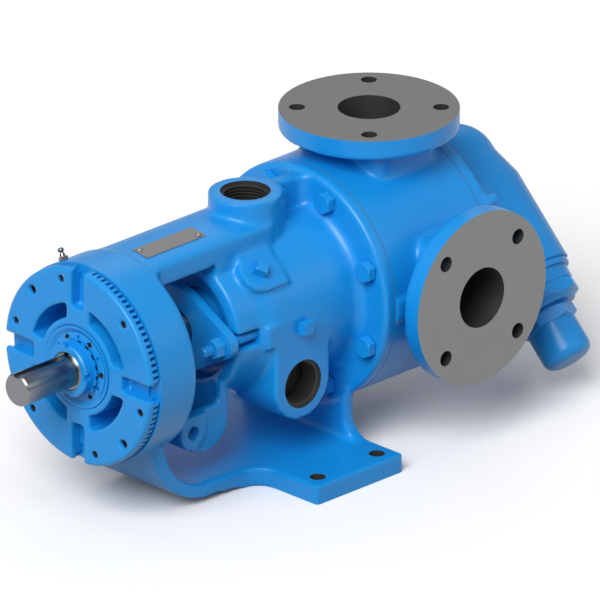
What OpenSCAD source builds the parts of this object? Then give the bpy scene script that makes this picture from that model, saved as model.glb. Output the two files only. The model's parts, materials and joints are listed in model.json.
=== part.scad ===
// Internal gear pump with a foot bracket, packed shaft seal and head-mounted relief valve.
// The frame has its origin on the base plane, at the middle of the foot bolts. +X runs along
// the shaft from the drive end to the head, +Z is up and the side port looks along -Y.

/* [Mounting foot] */
// Height of the shaft centre above the base
shaft_h = 139.7; // [138:0.1:150]
// Distance from the middle of the foot bolts to the port centreline
foot_to_port = 127.5; // [125:0.5:130]
// Spacing of the foot bolts along the shaft
foot_bolt_x = 69.85; // [60:0.05:74]
// Spacing of the foot bolts across the shaft
foot_bolt_y = 203.2; // [185:0.1:210]
// Diameter of the foot bolt holes
foot_hole_d = 13.5; // [9:0.1:16]
// Length of the foot pad along the shaft
foot_len = 101; // [98:1:106]
// Width of the foot pad across the shaft
foot_w = 234; // [228:1:250]
// Thickness of the foot pad
foot_t = 16.5; // [12:0.5:20]
// Width of the leg and of the rear web above their flare
leg_w = 96; // [80:1:110]
// Thickness of the curved leg
leg_t = 12.5; // [9:0.5:16]
// Inner bend radius of the curved leg
leg_bend = 53.5; // [46:0.5:58]
// Thickness of the rear web
web_t = 12; // [8:0.5:16]
// Width of the rear web above its flare
web_w = 118; // [100:1:130]
// Radius of the flare where leg and web meet the pad
flare_r = 20; // [12:1:26]

/* [Ports] */
// Bore of the two ports
port_d = 52.8; // [40:0.1:56]
// Distance from the shaft centre to each port face
port_reach = 133.35; // [128:0.05:145]
// Outer diameter of the port flanges
flange_d = 152.4; // [145:0.1:165]
// Thickness of the port flanges
flange_t = 17.5; // [14:0.5:22]
// Bolt circle of the port flanges
flange_pcd = 120.65; // [112:0.05:126]
// Diameter of the port flange bolt holes
flange_hole_d = 13.5; // [10:0.1:17]
// Number of bolts in each port flange
flange_bolts = 4; // [4:4:8]
// Width of the neck under each flange, across the shaft
neck_w = 100; // [84:1:110]
// Reach of the neck from the port centreline towards the bracket
neck_front = 40; // [34:1:46]
// Reach of the neck from the port centreline towards the head
neck_rear = 35; // [32:1:40]

/* [Casing and head] */
// Outer radius of the casing, head and bracket flange
case_r = 103.3; // [101:0.1:110]
// Distance from the port centreline to the bracket joint
case_front = 72.4; // [70:0.1:78]
// Distance from the port centreline to the head joint
case_rear = 43; // [42:0.5:48]
// Thickness of the head flange
head_t = 12; // [10:0.5:16]
// Height of the valve pad on the head
pad_h = 15; // [12:0.5:20]
// Length of the valve pad along the valve axis
pad_len = 144; // [130:1:150]
// Width of the valve pad
pad_w = 84; // [78:1:90]
// Thickness of the joint gaskets
gasket_t = 0.8; // [0.4:0.1:1.5]
// Bolt circle radius of the bracket joint
bracket_bolt_r = 89; // [88:0.5:92]
// Bolt circle radius of the head joint
head_bolt_r = 86; // [85:0.5:89]
// Number of bolts in the bracket joint and in the head joint
joint_bolts = 8; // [8:4:12]
// Shank diameter of the joint bolts
joint_bolt_d = 11; // [8:0.5:12]
// Width across flats of the bracket joint bolts
bracket_bolt_af = 17; // [15:1:21]
// Width across flats of the head joint bolts
head_bolt_af = 17; // [15:1:19]
// Depth of the tapped holes for the joint bolts
tap_depth = 19; // [14:1:24]

/* [Gears] */
// Number of rotor teeth
rotor_teeth = 11; // [11:1:12]
// Difference between the rotor teeth and the idler teeth
teeth_less = 3; // [3:1:3]
// Outer diameter of the rotor
rotor_d = 127; // [125:0.5:128]
// Radius of the circle through the rotor tooth tip centres, as a share of the rotor diameter
tooth_circle_share = 0.42126; // [0.418:0.0005:0.425]
// Diameter of the round tip of a rotor tooth, as a share of the rotor diameter
tooth_tip_share = 0.11811; // [0.105:0.001:0.122]
// Width of a rotor tooth at the outside of the rotor
tooth_root_w = 17; // [14:0.1:18]
// Distance between the rotor and idler centres, as a share of the rotor diameter
offset_share = 0.110236; // [0.1095:0.0001:0.1125]
// Distance from the idler tip circle to the casing bore where the gears mesh
tip_room = 3.8; // [3.4:0.1:5]
// Thickness of the rotor disc
rotor_disc_t = 12; // [9:0.5:14]
// Length of the bracket nose that closes the casing bore
nose_len = 38.2; // [36:0.1:42]
// Diameter of the idler pin
idler_pin_d = 28.5; // [24:0.5:32]
// Wall of the idler bushing
idler_bush_t = 4; // [3:0.5:5]

/* [Shaft] */
// Shaft diameter at the drive end
shaft_d = 28.575; // [25:0.005:30]
// Length of shaft that stands out of the bearing housing
shaft_out = 70.2; // [55:0.1:90]
// Shaft diameter at the bearing
seat_d = 33; // [32:0.1:34]
// Shaft diameter at the seal and bracket bushing
seal_shaft_d = 36.5; // [35:0.1:38]
// Keyway width
key_w = 6.35; // [5:0.05:8]
// Keyway depth
key_depth = 3.2; // [2:0.1:4]
// Keyway length
key_len = 51.6; // [40:0.1:52]

/* [Bearing end] */
// Length of the open window between seal chamber and bearing barrel
window_len = 74; // [66:1:80]
// Length of the bearing barrel
barrel_len = 42; // [36:1:48]
// Outer radius of the bearing barrel
barrel_r = 87.5; // [86.5:0.1:92]
// Bore radius of the bearing barrel
barrel_bore_r = 70; // [66:0.5:72]
// Width of the top bridge over the window
bridge_w = 66; // [56:1:72]
// Thickness of the housing flange
housing_flange_t = 12.4; // [11:0.1:15]
// Radius of the flat face of the housing flange
housing_face_r = 84.3; // [82:0.1:85]
// Radius of the toothed rim of the housing flange
housing_rim_r = 86.5; // [86:0.1:87.5]
// Number of teeth around the housing rim
rim_teeth = 100; // [80:1:110]
// Depth of the gaps between the rim teeth
rim_tooth_h = 5; // [3:0.5:6]
// Outer radius of the bearing hub
hub_r = 42.5; // [41:0.5:45]
// Outer radius of the kidney pockets
kidney_r = 55; // [50:0.5:58]
// Depth of the kidney pockets
kidney_depth = 44; // [30:1:46]
// Width of the spokes between the kidney pockets
spoke_w = 27; // [20:1:32]
// Width of the turning notches in the housing flange
notch_w = 14; // [10:0.5:18]
// Distance from the shaft centre to the notch floors
notch_r = 52; // [50:0.5:60]
// Outer diameter of the ball bearing
bearing_od = 72; // [70:0.5:74]
// Width of the ball bearing
bearing_w = 30; // [28:0.5:32]
// Diameter of a bearing ball
ball_d = 9; // [8:0.1:9.5]
// Number of balls in each row
balls_in_row = 13; // [10:1:14]

/* [Seal chamber] */
// Length from the bracket joint to the front of the seal chamber
chamber_len = 142.6; // [138:0.2:148]
// Radius of the seal chamber at its front
chamber_r = 61; // [59:0.5:66]
// Width of a packing ring
packing_w = 9.5; // [8:0.25:11]
// Number of packing rings
packing_rings_n = 5; // [4:1:5]
// Diameter of the gland studs
stud_d = 9.5; // [8:0.5:12]
// Distance from the shaft centre to each gland stud
stud_r = 53; // [52:0.5:55]
// Thickness of the gland plate
gland_t = 9; // [7:0.5:12]
// Length of the bracket bushing
bracket_bush_len = 56; // [40:1:60]
// Wall of the bracket bushing
bracket_bush_t = 5.7; // [4:0.1:7]
// Radius of the threaded bosses
boss_r = 31.3; // [29:0.1:34]
// Radius of the threaded boss holes
boss_hole_r = 20.2; // [16:0.1:22]
// Depth of the threaded boss holes
boss_hole_depth = 23; // [18:1:26]
// Distance from the bracket joint to the threaded bosses
boss_back = 73.7; // [70:0.1:78]
// Height of the top boss above the shaft centre
top_boss_h = 100.8; // [98:0.1:103]
// Distance from the shaft centre to the face of the side boss
side_boss_reach = 68; // [67:0.5:74]
// Drop of the side boss below the shaft centre
side_boss_drop = 54; // [48:0.5:56]

/* [Relief valve] */
// Distance from the port centreline to the valve axis
valve_x = 135; // [133:0.5:140]
// Outer radius of the valve body
valve_r = 42.7; // [41:0.1:45]
// Radius of the domed end of the valve body
dome_r = 36; // [33:0.5:40]
// Reach of the domed end from the shaft centre plane
dome_reach = 80; // [76:0.5:86]
// Reach of the bonnet joint from the shaft centre plane
bonnet_reach = 70.3; // [68:0.1:76]
// Height of the valve bonnet
bonnet_h = 32.4; // [30:0.1:36]
// Height of the valve cap
cap_h = 46; // [42:0.5:52]
// Outer radius of the valve cap
cap_r = 22.2; // [20:0.1:25]
// Radius of the valve bore
valve_bore_r = 26; // [24:0.5:28]
// Radius of the opening in the valve seat
seat_r = 16; // [13:0.5:18]
// Radius of the flow passages between head and valve
passage_r = 10; // [8:0.5:12]
// Wire diameter of the valve spring
wire_d = 4.4; // [3.5:0.1:5]
// Mean radius of the valve spring
coil_r = 14.5; // [13:0.5:16]
// Number of turns of the valve spring
coil_turns = 7; // [5:1:9]
// Diameter of the adjusting screw
adjuster_d = 16; // [12:0.5:18]

/* [Hidden] */
$fn = 72;
run = 0.05;          // radial clearance of a running fit
seat = 0.02;         // radial clearance of a fixed fit
face_gap = 0.2;      // axial clearance beside a turning gear
mesh_gap = 0.2;      // clearance between the gear profiles
bite = 1;            // overlap that joins two solids of one casting
bolt_start = 180 / joint_bolts;
port_angle = 135;    // direction of the gear offset, half way between the two ports

blue = "#3189d3";
steel = "#a7abae";
bright = "#d3d6d8";
bronze = "#b08a4a";
gasket_colour = "#7d6f5e";
rubber = "#232323";

// Stations along the shaft, from the port centreline
joint_x = -case_front;
head_x = case_rear + gasket_t;
head_back_x = head_x + head_t;
pad_x = head_back_x + pad_h;
valve_foot_x = pad_x + gasket_t;
chamber_x = joint_x - chamber_len;
barrel_back_x = chamber_x - window_len;
barrel_front_x = barrel_back_x - barrel_len;
housing_x = barrel_front_x - housing_flange_t;
shaft_end_x = housing_x - shaft_out;
boss_x = joint_x - boss_back;
bracket_flange_t = 10.6;
flange_front_x = joint_x - bracket_flange_t;
cavity_x = joint_x + nose_len;
rotor_x = cavity_x + face_gap;
teeth_x = rotor_x + rotor_disc_t;
teeth_end_x = head_x - face_gap;
foot_x = -foot_to_port;

// Gears
idler_teeth = rotor_teeth - teeth_less;
rotor_r = rotor_d / 2;
case_bore_r = rotor_r + 2 * run;
gear_offset = rotor_d * offset_share;
tooth_circle_r = rotor_d * tooth_circle_share;
throat_z = case_bore_r + 4.4;
pitch_point = gear_offset * idler_teeth / teeth_less;
idler_tip_r = case_bore_r - gear_offset - tip_room;
tooth_tip_r = rotor_d * tooth_tip_share / 2;
rotor_inner_r = tooth_circle_r - tooth_tip_r;
idler_pin_r = idler_pin_d / 2;
idler_bush_r = idler_pin_r + idler_bush_t;
crescent_gap = 0.25;

// Bearing end
seat_rad = seat_d / 2;
seal_shaft_r = seal_shaft_d / 2;
bearing_r = bearing_od / 2;
cap_depth = 12.9;
bearing_x = housing_x + cap_depth;
bearing_back_x = bearing_x + bearing_w;
race_t = 5.5;
ball_r = ball_d / 2;
inner_race_r = seat_rad + race_t;
outer_race_r = bearing_r - race_t;
ball_pitch_r = (inner_race_r + outer_race_r) / 2;
row_gap = bearing_w / 2;
spacer_r = 22;
lip_seal_r = 31;
nut_r = 23;
nut_t = 10;
washer_t = 1.5;
half_ring_t = 4;
inner_cap_t = 8;

// Seal chamber
recess_r = 47;
recess_depth = 15;
packing_bore_r = seal_shaft_r + packing_w;
packing_x = joint_x - 74.6;
packing_front_x = packing_x - packing_rings_n * packing_w;
gland_front_x = chamber_x - 4 - gland_t;
stud_notch_depth = 25;
stud_notch_w = 14;
stud_out = 22;
stud_tap = 15;
bush_end_x = cavity_x - 2;
bush_x = bush_end_x - bracket_bush_len;
bracket_bush_r = seal_shaft_r + run + bracket_bush_t;
lobe_r = 12;
gland_body_r = 38;

// Relief valve, measured along its own axis
valve_flange_t = 12;
valve_bolt_af = 15;
valve_bolt_head = 6.5;
valve_bolt_d = 10;
cap_hex_r = 26.6;
cap_hex_h = 12.5;
bonnet_z = bonnet_reach + gasket_t;
cap_z = bonnet_z + bonnet_h;
seat_z = -15;
seat_t = 9;
disc_t = 6;
poppet_top = seat_z + disc_t;
guide_z = 74;
guide_t = 4;
bore_bottom = -58;

// Frames and shared shapes

// Moves from the shaft frame, with its origin at the port centreline, to the base frame
module on_shaft() translate([foot_to_port, 0, shaft_h]) children();

// Frame of the relief valve: Z runs along its axis, from the dome to the cap
module on_valve() on_shaft() translate([valve_x, 0, 0]) rotate([port_angle, 0, 0]) children();

// Turns [station, radius] points about the shaft axis
module turned(points) rotate([0, 90, 0])
    rotate_extrude() polygon([for (p = points) [p[1], p[0]]]);

// A plain ring about the shaft axis
module ring(x0, x1, inner, outer) translate([x0, 0, 0]) rotate([0, 90, 0]) difference() {
    cylinder(h = x1 - x0, r = outer);
    if (inner > 0) translate([0, 0, -bite]) cylinder(h = x1 - x0 + 2 * bite, r = inner);
}

// A round bar along the shaft direction
module bar(x0, x1, r, y = 0, z = 0)
    translate([x0, y, z]) rotate([0, 90, 0]) cylinder(h = x1 - x0, r = r);

// Extrudes a section drawn across the shaft, with Y to the right and Z up
module across(x0, x1) translate([x0, 0, 0]) rotate([90, 0, 90])
    linear_extrude(x1 - x0) children();

// Points of an arc in a profile
function arc(c, r, from, to, steps = 6) =
    [for (i = [0:steps]) let (a = from + (to - from) * i / steps) c + r * [cos(a), sin(a)]];

// Repeats a child around the shaft axis
module around(count, start = 0)
    for (i = [0:count - 1]) rotate([start + 360 * i / count, 0, 0]) children();

// A square with round corners
module round_square(w, h, r) union() {
    square([w - 2 * r, h], center = true);
    square([w, h - 2 * r], center = true);
    for (sx = [-1, 1], sy = [-1, 1]) translate([sx * (w / 2 - r), sy * (h / 2 - r)]) circle(r);
}

// Hexagon head screw along the shaft, its head in front of station x
module hex_screw(x, af, head, shank_d, length) {
    translate([x - head, 0, 0]) rotate([0, 90, 0])
        cylinder(h = head, r = af / sqrt(3), $fn = 6);
    bar(x - bite, x + length, shank_d / 2);
}

// Hexagon head screw whose head stands behind station x
module rear_hex_screw(x, af, head, shank_d, length) {
    translate([x, 0, 0]) rotate([0, 90, 0]) cylinder(h = head, r = af / sqrt(3), $fn = 6);
    bar(x - length, x + bite, shank_d / 2);
}

// Bracket

chamber_profile = concat(
    [[chamber_x, 0], [chamber_x, chamber_r - 4]],
    arc([chamber_x + 4, chamber_r - 4], 4, 180, 90),
    [[chamber_x + 26, chamber_r + 1.5], [chamber_x + 38, chamber_r + 6], [boss_x, chamber_r + 8],
     [flange_front_x - 22, chamber_r + 11]],
    arc([flange_front_x - 10, chamber_r + 22], 10, 270, 360),
    arc([flange_front_x + 4, case_r - 4], 4, 180, 90),
    [[joint_x, case_r], [joint_x, 0]]);

module seal_chamber() {
    turned(chamber_profile);
    bar(joint_x - bite, cavity_x, case_bore_r - seat);
}

module bearing_barrel() turned(concat(
    [[barrel_back_x, barrel_bore_r - 2]],
    arc([barrel_back_x - 3, barrel_r - 3], 3, 0, 90),
    [[barrel_front_x, barrel_r], [barrel_front_x, barrel_bore_r - 2]]));

module top_bridge() {
    intersection() {
        turned([[barrel_back_x - bite, barrel_bore_r], [chamber_x + 2, barrel_bore_r],
            [chamber_x + 2, chamber_r - 6], [boss_x, chamber_r - 6],
            [boss_x, barrel_r - 1.2], [barrel_back_x - bite, barrel_r - 1.2]]);
        translate([barrel_back_x - 2 * bite, -bridge_w / 2, 0])
            cube([boss_x - barrel_back_x + 4 * bite, bridge_w, barrel_r + 5]);
    }
    translate([boss_x, 0, chamber_r]) cylinder(h = top_boss_h - chamber_r, r = boss_r);
    translate([boss_x, -6.5, chamber_r])
        cube([flange_front_x - boss_x + bite, 13, top_boss_h - chamber_r - 1.5]);
}

module side_boss() {
    translate([boss_x, -side_boss_reach, -side_boss_drop]) rotate([-90, 0, 0])
        cylinder(h = side_boss_reach - 14, r = boss_r);
    translate([boss_x - boss_r, -side_boss_reach, -side_boss_drop])
        cube([2 * boss_r, 40, side_boss_drop + 8]);
    translate([boss_x - boss_r - 9, -side_boss_reach, -13]) cube([9 + bite, 25, 21]);
}

leg_bend_x = barrel_back_x + leg_bend;
leg_bend_z = -shaft_h + foot_t + leg_bend + 1;
pad_front_x = foot_x - foot_len / 2;
pad_rear_x = foot_x + foot_len / 2;
pad_top_z = foot_t - shaft_h;

module leg() {
    rotate([90, 0, 0]) linear_extrude(leg_w, center = true) polygon(concat(
        [[barrel_back_x, leg_bend_z + 16]],
        arc([leg_bend_x, leg_bend_z], leg_bend, 180, 270, 10),
        [[pad_front_x, pad_top_z], [pad_front_x + 5, pad_top_z], [pad_front_x + 5, -shaft_h],
         [pad_front_x - 10, -shaft_h], [leg_bend_x + 8, leg_bend_z - leg_bend - leg_t]],
        arc([leg_bend_x, leg_bend_z], leg_bend + leg_t, 270, 180, 12),
        [[barrel_back_x - leg_t, leg_bend_z + 16]]));
    // flares in plan where the leg meets the pad
    for (s = [-1, 1]) translate([pad_front_x, s * leg_w / 2, -shaft_h]) mirror([0, s < 0 ? 1 : 0, 0])
        linear_extrude(foot_t) polygon(concat([[bite, -bite], [bite, flare_r]],
            arc([-flare_r, flare_r], flare_r, 0, -90), [[-flare_r, -bite]]));
}

module rear_web() across(pad_rear_x - web_t, pad_rear_x) for (s = [0, 1]) mirror([s, 0])
    polygon(concat([[-bite, pad_top_z - bite], [-bite, -60], [web_w / 2 + 6, -60]],
        [[web_w / 2, -86], [web_w / 2, pad_top_z + flare_r]],
        arc([web_w / 2 + flare_r, pad_top_z + flare_r], flare_r, 180, 270),
        [[web_w / 2 + flare_r, pad_top_z - bite]]));

module foot() {
    translate([pad_front_x, -foot_w / 2, -shaft_h]) cube([foot_len, foot_w, foot_t]);
    leg();
    rear_web();
}

ear_x = chamber_x - 39;
ear_z = -73;
trough_front_x = chamber_x - 47;
trough_back_x = chamber_x + 7;
trough_bottom_z = ear_z - 23;
trough_corner = 24;
trough_wall = 6;

// Section of the trough along the shaft, drawn in by an inset for its hollow
module trough_section(inset) polygon(concat(
    [[trough_back_x - inset, -40], [trough_front_x + inset, -40]],
    arc([trough_front_x + trough_corner, trough_bottom_z + trough_corner],
        trough_corner - inset, 180, 270, 8),
    [[trough_back_x - inset, trough_bottom_z + inset]]));

// Open trough that catches drips below the gland, with a mounting ear on either side
module drip_trough() difference() {
    union() {
        rotate([90, 0, 0]) linear_extrude(leg_w - 2 * trough_wall, center = true)
            trough_section(0);
        rotate([90, 0, 0]) linear_extrude(leg_w, center = true) {
            translate([ear_x, ear_z]) circle(15);
            translate([ear_x - 15, ear_z]) square([30, 17]);
        }
    }
    rotate([90, 0, 0]) linear_extrude(leg_w - 4 * trough_wall, center = true) {
        trough_section(trough_wall);
        translate([trough_front_x + trough_wall, -41])
            square([chamber_x - 3 - trough_front_x - trough_wall, 10]);
    }
    // the front and side walls stop below the wall that meets the chamber
    translate([trough_front_x - bite, -leg_w / 2, ear_z + 16])
        cube([chamber_x - 3 - trough_front_x + bite, leg_w, 40]);
    translate([ear_x, leg_w / 2 + bite, ear_z]) rotate([90, 0, 0])
        cylinder(h = leg_w + 2 * bite, r = 5.8);
}

module bracket_cuts() {
    bar(joint_x - 80, cavity_x + bite, seal_shaft_r + 1.6);
    bar(chamber_x - bite, packing_x, packing_bore_r);
    bar(chamber_x - bite, chamber_x + recess_depth, recess_r);
    bar(bush_x, cavity_x + bite, bracket_bush_r + seat);
    ring(barrel_front_x - bite, barrel_back_x + bite, 0, barrel_bore_r);
    translate([boss_x, 0, top_boss_h - boss_hole_depth]) cylinder(h = 40, r = boss_hole_r);
    translate([boss_x, -side_boss_reach - bite, -side_boss_drop]) rotate([-90, 0, 0])
        cylinder(h = boss_hole_depth + bite, r = boss_hole_r);
    around(joint_bolts, bolt_start) bar(flange_front_x - 14, joint_x + bite,
        joint_bolt_d / 2 + seat, bracket_bolt_r);
    around(joint_bolts, bolt_start) bar(flange_front_x - 14, flange_front_x,
        bracket_bolt_af / sqrt(3) + 1.5, bracket_bolt_r);
    for (s = [-1, 1]) {
        translate([chamber_x - bite, s > 0 ? 40 : -75, -stud_notch_w / 2])
            cube([stud_notch_depth + bite, 35, stud_notch_w]);
        bar(chamber_x, chamber_x + stud_notch_depth + stud_tap, stud_d / 2 + seat, s * stud_r);
    }
    for (sx = [-1, 1], sy = [-1, 1])
        translate([foot_x + sx * foot_bolt_x / 2, sy * foot_bolt_y / 2, -shaft_h - bite])
            cylinder(h = foot_t + 2 * bite, d = foot_hole_d);
    plug_places() translate([0, 0, -9]) cylinder(h = 20, r = plug_r + seat);
    // flats that the square heads clear
    plug_places() cylinder(h = 20, r = 9);
    grease_place() translate([0, 0, -12]) cylinder(h = 20, r = 2.5 + seat);
}

plug_r = 6.5;
pad_r = 18.5;
module upper_plug_place() translate([chamber_x + 37, 0, 0]) rotate([42.5, 0, 0])
    translate([0, 0, chamber_r + 9]) children();

// Flat pad of the upper plug, run back along the chamber
module plug_pad() upper_plug_place() translate([0, 0, -17]) linear_extrude(17) {
    circle(pad_r);
    translate([0, -pad_r]) square([25, 2 * pad_r]);
}

module plug_places() {
    translate([boss_x, -side_boss_reach, -2]) rotate([90, 0, 0]) children();
    upper_plug_place() children();
}

module grease_place() translate([barrel_front_x + 9, 0, 0]) rotate([-25, 0, 0])
    translate([0, 0, barrel_r]) children();

module bracket() color(blue) on_shaft() difference() {
    union() {
        seal_chamber();
        bearing_barrel();
        top_bridge();
        side_boss();
        foot();
        drip_trough();
        plug_pad();
    }
    bracket_cuts();
}

// Casing

module port() {
    difference() {
        union() {
            translate([(neck_rear - neck_front) / 2, 0, rotor_r]) linear_extrude(
                port_reach - rotor_r - flange_t / 2)
                round_square(neck_front + neck_rear, neck_w, 14);
            translate([0, 0, port_reach - flange_t]) cylinder(h = flange_t, d = flange_d);
        }
        port_cut();
    }
}

// The bore ends above the rotor in a slightly wider cast throat
module port_cut() {
    cylinder(h = throat_z, d = port_d + 3);
    translate([0, 0, throat_z - bite]) cylinder(h = port_reach - throat_z + 2 * bite, d = port_d);
    for (i = [0:flange_bolts - 1]) rotate(360 * (i + 0.5) / flange_bolts)
        translate([flange_pcd / 2, 0, port_reach - flange_t - bite])
            cylinder(h = flange_t + 2 * bite, d = flange_hole_d);
}

module casing() color(blue) on_shaft() difference() {
    union() {
        ring(joint_x + gasket_t, case_rear, 0, case_r);
        port();
        rotate([90, 0, 0]) port();
        translate([joint_x + gasket_t, -case_r - 3, -9.5])
            cube([case_front - neck_front + bite, 12, 19]);
    }
    bar(joint_x, head_x, case_bore_r);
    port_cut();
    rotate([90, 0, 0]) port_cut();
    around(joint_bolts, bolt_start) bar(joint_x, joint_x + gasket_t + tap_depth + 1,
        joint_bolt_d / 2 + seat, bracket_bolt_r);
    around(joint_bolts, bolt_start) bar(case_rear - tap_depth - 1, head_x,
        joint_bolt_d / 2 + seat, head_bolt_r);
}

// Head with its crescent

module crescent_section() rotate(port_angle) difference() {
    circle(rotor_inner_r - crescent_gap);
    translate([gear_offset, 0]) circle(idler_tip_r + crescent_gap);
    translate([-6, -rotor_r]) square(2 * rotor_r);
}

// The valve pad and the flange of the valve body share this outline
module pad_section() rotate(port_angle - 90) round_square(pad_w, pad_len, 16);

module pad_bolts() for (sy = [-1, 1], sz = [-1, 1])
    translate([0, sy * (pad_w / 2 - 11), sz * (pad_len / 2 - 12)]) children();

module head() color(blue) on_shaft() difference() {
    union() {
        bar(head_x, head_back_x, case_r);
        across(head_back_x - bite, pad_x) pad_section();
        across(teeth_x + face_gap, head_x + bite) crescent_section();
        rotate([55, 0, 0]) translate([head_back_x - bite, -7, 88]) cube([12.5, 14, 16]);
    }
    around(joint_bolts, bolt_start) bar(head_x - bite, head_back_x + bite,
        joint_bolt_d / 2 + seat, head_bolt_r);
    rotate([port_angle, 0, 0]) {
        bar(head_x - bite, pad_x - 4, idler_pin_r + seat, gear_offset);
        for (s = [-1, 1]) bar(head_x - bite, pad_x + bite, passage_r, 0, s * 38);
        pad_bolts() bar(pad_x - tap_depth - bite, pad_x + bite, valve_bolt_d / 2 + seat);
    }
}

module bracket_gasket() color(gasket_colour) on_shaft() difference() {
    ring(joint_x, joint_x + gasket_t, case_bore_r, case_r - 0.3);
    around(joint_bolts, bolt_start) bar(joint_x - bite, joint_x + gasket_t + bite,
        joint_bolt_d / 2 + 0.5, bracket_bolt_r);
}

module head_gasket() color(gasket_colour) on_shaft() difference() {
    ring(case_rear, head_x, case_bore_r, case_r - 0.3);
    around(joint_bolts, bolt_start) bar(case_rear - bite, head_x + bite,
        joint_bolt_d / 2 + 0.5, head_bolt_r);
}

module bracket_capscrews() color(blue) on_shaft() around(joint_bolts, bolt_start)
    translate([0, bracket_bolt_r, 0])
        hex_screw(flange_front_x, bracket_bolt_af, 8, joint_bolt_d,
            bracket_flange_t + gasket_t + tap_depth);

module head_capscrews() color(blue) on_shaft() around(joint_bolts, bolt_start)
    translate([0, head_bolt_r, 0])
        rear_hex_screw(head_back_x, head_bolt_af, 7, joint_bolt_d,
            head_t + gasket_t + tap_depth);

// Shaft and gears

bush_shoulder_x = housing_x + cap_depth + bearing_w + 12;
rotor_bore_r = 15;

module shaft() color(bright) on_shaft() difference() {
    // a quarter turn keeps the seam of the turned surface clear of the keyway
    rotate([90, 0, 0]) turned([[shaft_end_x, 0], [shaft_end_x, shaft_d / 2 - 1.2],
        [shaft_end_x + 1.2, shaft_d / 2], [housing_x - 12.6, shaft_d / 2],
        [housing_x - 12.6, seat_rad - 1], [housing_x - 11.6, seat_rad],
        [bush_shoulder_x, seat_rad], [bush_shoulder_x, seal_shaft_r],
        [rotor_x, seal_shaft_r], [rotor_x, rotor_bore_r],
        [teeth_x, rotor_bore_r], [teeth_x, 0]]);
    // keyway, with the run-out of its cutter
    translate([shaft_end_x - bite, -key_w / 2, shaft_d / 2 - key_depth])
        cube([key_len - 8 + bite, key_w, 10]);
    translate([shaft_end_x + key_len - 8, key_w / 2, shaft_d / 2 - key_depth + 12])
        rotate([90, 0, 0]) cylinder(h = key_w, r = 12);
    // slot for the tongue of the lockwasher
    translate([housing_x - 13, -2.5, seat_rad - 2.6]) cube([13, 5, 5]);
    // groove for the half round rings
    ring(bush_shoulder_x - half_ring_t, bush_shoulder_x, seat_rad - 1.5, seal_shaft_r + 2);
}

module rotor_tooth() intersection() {
    union() {
        translate([tooth_circle_r, 0]) circle(tooth_tip_r);
        polygon([[tooth_circle_r, -tooth_tip_r], [rotor_r + 2, -tooth_root_w / 2],
            [rotor_r + 2, tooth_root_w / 2], [tooth_circle_r, tooth_tip_r]]);
    }
    circle(rotor_r - seat);
}

module rotor() color(steel) on_shaft() {
    difference() {
        union() {
            bar(rotor_x, teeth_x, rotor_r);
            across(teeth_x - bite, teeth_end_x) rotate(port_angle)
                for (i = [0:rotor_teeth - 1]) rotate(360 * i / rotor_teeth) rotor_tooth();
        }
        bar(rotor_x - bite, teeth_x + bite, rotor_bore_r + seat);
    }
}

// Conjugate idler profile: the edge that a rotor tooth tip leaves in the idler at rotor angle a,
// with the idler centre at the origin and the pitch point on +X
function contact(a) = let (
    tip = [tooth_circle_r * cos(a) - gear_offset, tooth_circle_r * sin(a)],
    to_pitch = [pitch_point, 0] - tip,
    edge = tip + (tooth_tip_r + mesh_gap) * to_pitch / norm(to_pitch),
    turn = -a * rotor_teeth / idler_teeth)
    [edge[0] * cos(turn) - edge[1] * sin(turn), edge[0] * sin(turn) + edge[1] * cos(turn)];

// Rotor angle at which that edge reaches the idler tip circle, found by halving
function tip_angle(low = 0, high = 120, left = 30) = left == 0 ? low :
    let (middle = (low + high) / 2) norm(contact(middle)) < idler_tip_r
        ? tip_angle(middle, high, left - 1) : tip_angle(low, middle, left - 1);

space_steps = 32;
space_angle = tip_angle();
// Steps crowd together at the bottom of the space, where the contact point moves fast
function spread(i) = let (s = 2 * i / space_steps - 1) sign(s) * pow(abs(s), 2.5) * space_angle;
function spin(p, a) = [p[0] * cos(a) - p[1] * sin(a), p[0] * sin(a) + p[1] * cos(a)];
space_edge = [for (i = [0:space_steps]) contact(spread(space_steps - i))];
space_half = abs(atan2(space_edge[0][1], space_edge[0][0]));
tooth_top = [for (i = [1:5]) let (a = space_half + (360 / idler_teeth - 2 * space_half) * i / 6)
    idler_tip_r * [cos(a), sin(a)]];
idler_outline = [for (k = [0:idler_teeth - 1]) for (p = concat(space_edge, tooth_top))
    spin(p, 360 * k / idler_teeth)];

module on_idler() on_shaft() rotate([port_angle, 0, 0]) translate([0, gear_offset, 0]) children();

module idler_gear() color(steel) on_idler() difference() {
    across(teeth_x + face_gap, teeth_end_x) polygon(idler_outline);
    bar(teeth_x, head_x, idler_bush_r + seat);
}

module idler_bushing() color(bronze) on_idler()
    ring(teeth_x + face_gap, teeth_end_x, idler_pin_r + run, idler_bush_r);

module idler_pin() color(bright) on_idler() bar(teeth_x + 1.5, pad_x - 4, idler_pin_r);

// Seal and bracket bushing

module bracket_bushing() color(bronze) on_shaft()
    ring(bush_x, bush_end_x, seal_shaft_r + run, bracket_bush_r);

module packing_rings() color("#4b4a46") on_shaft() for (i = [0:packing_rings_n - 1])
    ring(packing_x - (i + 1) * packing_w + 0.1, packing_x - i * packing_w - 0.1,
        seal_shaft_r + run, packing_bore_r - seat);

module gland_plate() union() {
    circle(gland_body_r);
    for (s = [-1, 1]) translate([s * stud_r, 0]) circle(lobe_r);
    lean = acos((gland_body_r - lobe_r) / stud_r);
    for (s = [-1, 1]) mirror([s < 0 ? 1 : 0, 0]) polygon([[0, -gland_body_r * sin(lean)],
        gland_body_r * [cos(lean), -sin(lean)],
        [stud_r, 0] + lobe_r * [cos(lean), -sin(lean)],
        [stud_r, 0] + lobe_r * [cos(lean), sin(lean)],
        gland_body_r * [cos(lean), sin(lean)], [0, gland_body_r * sin(lean)]]);
}

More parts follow.
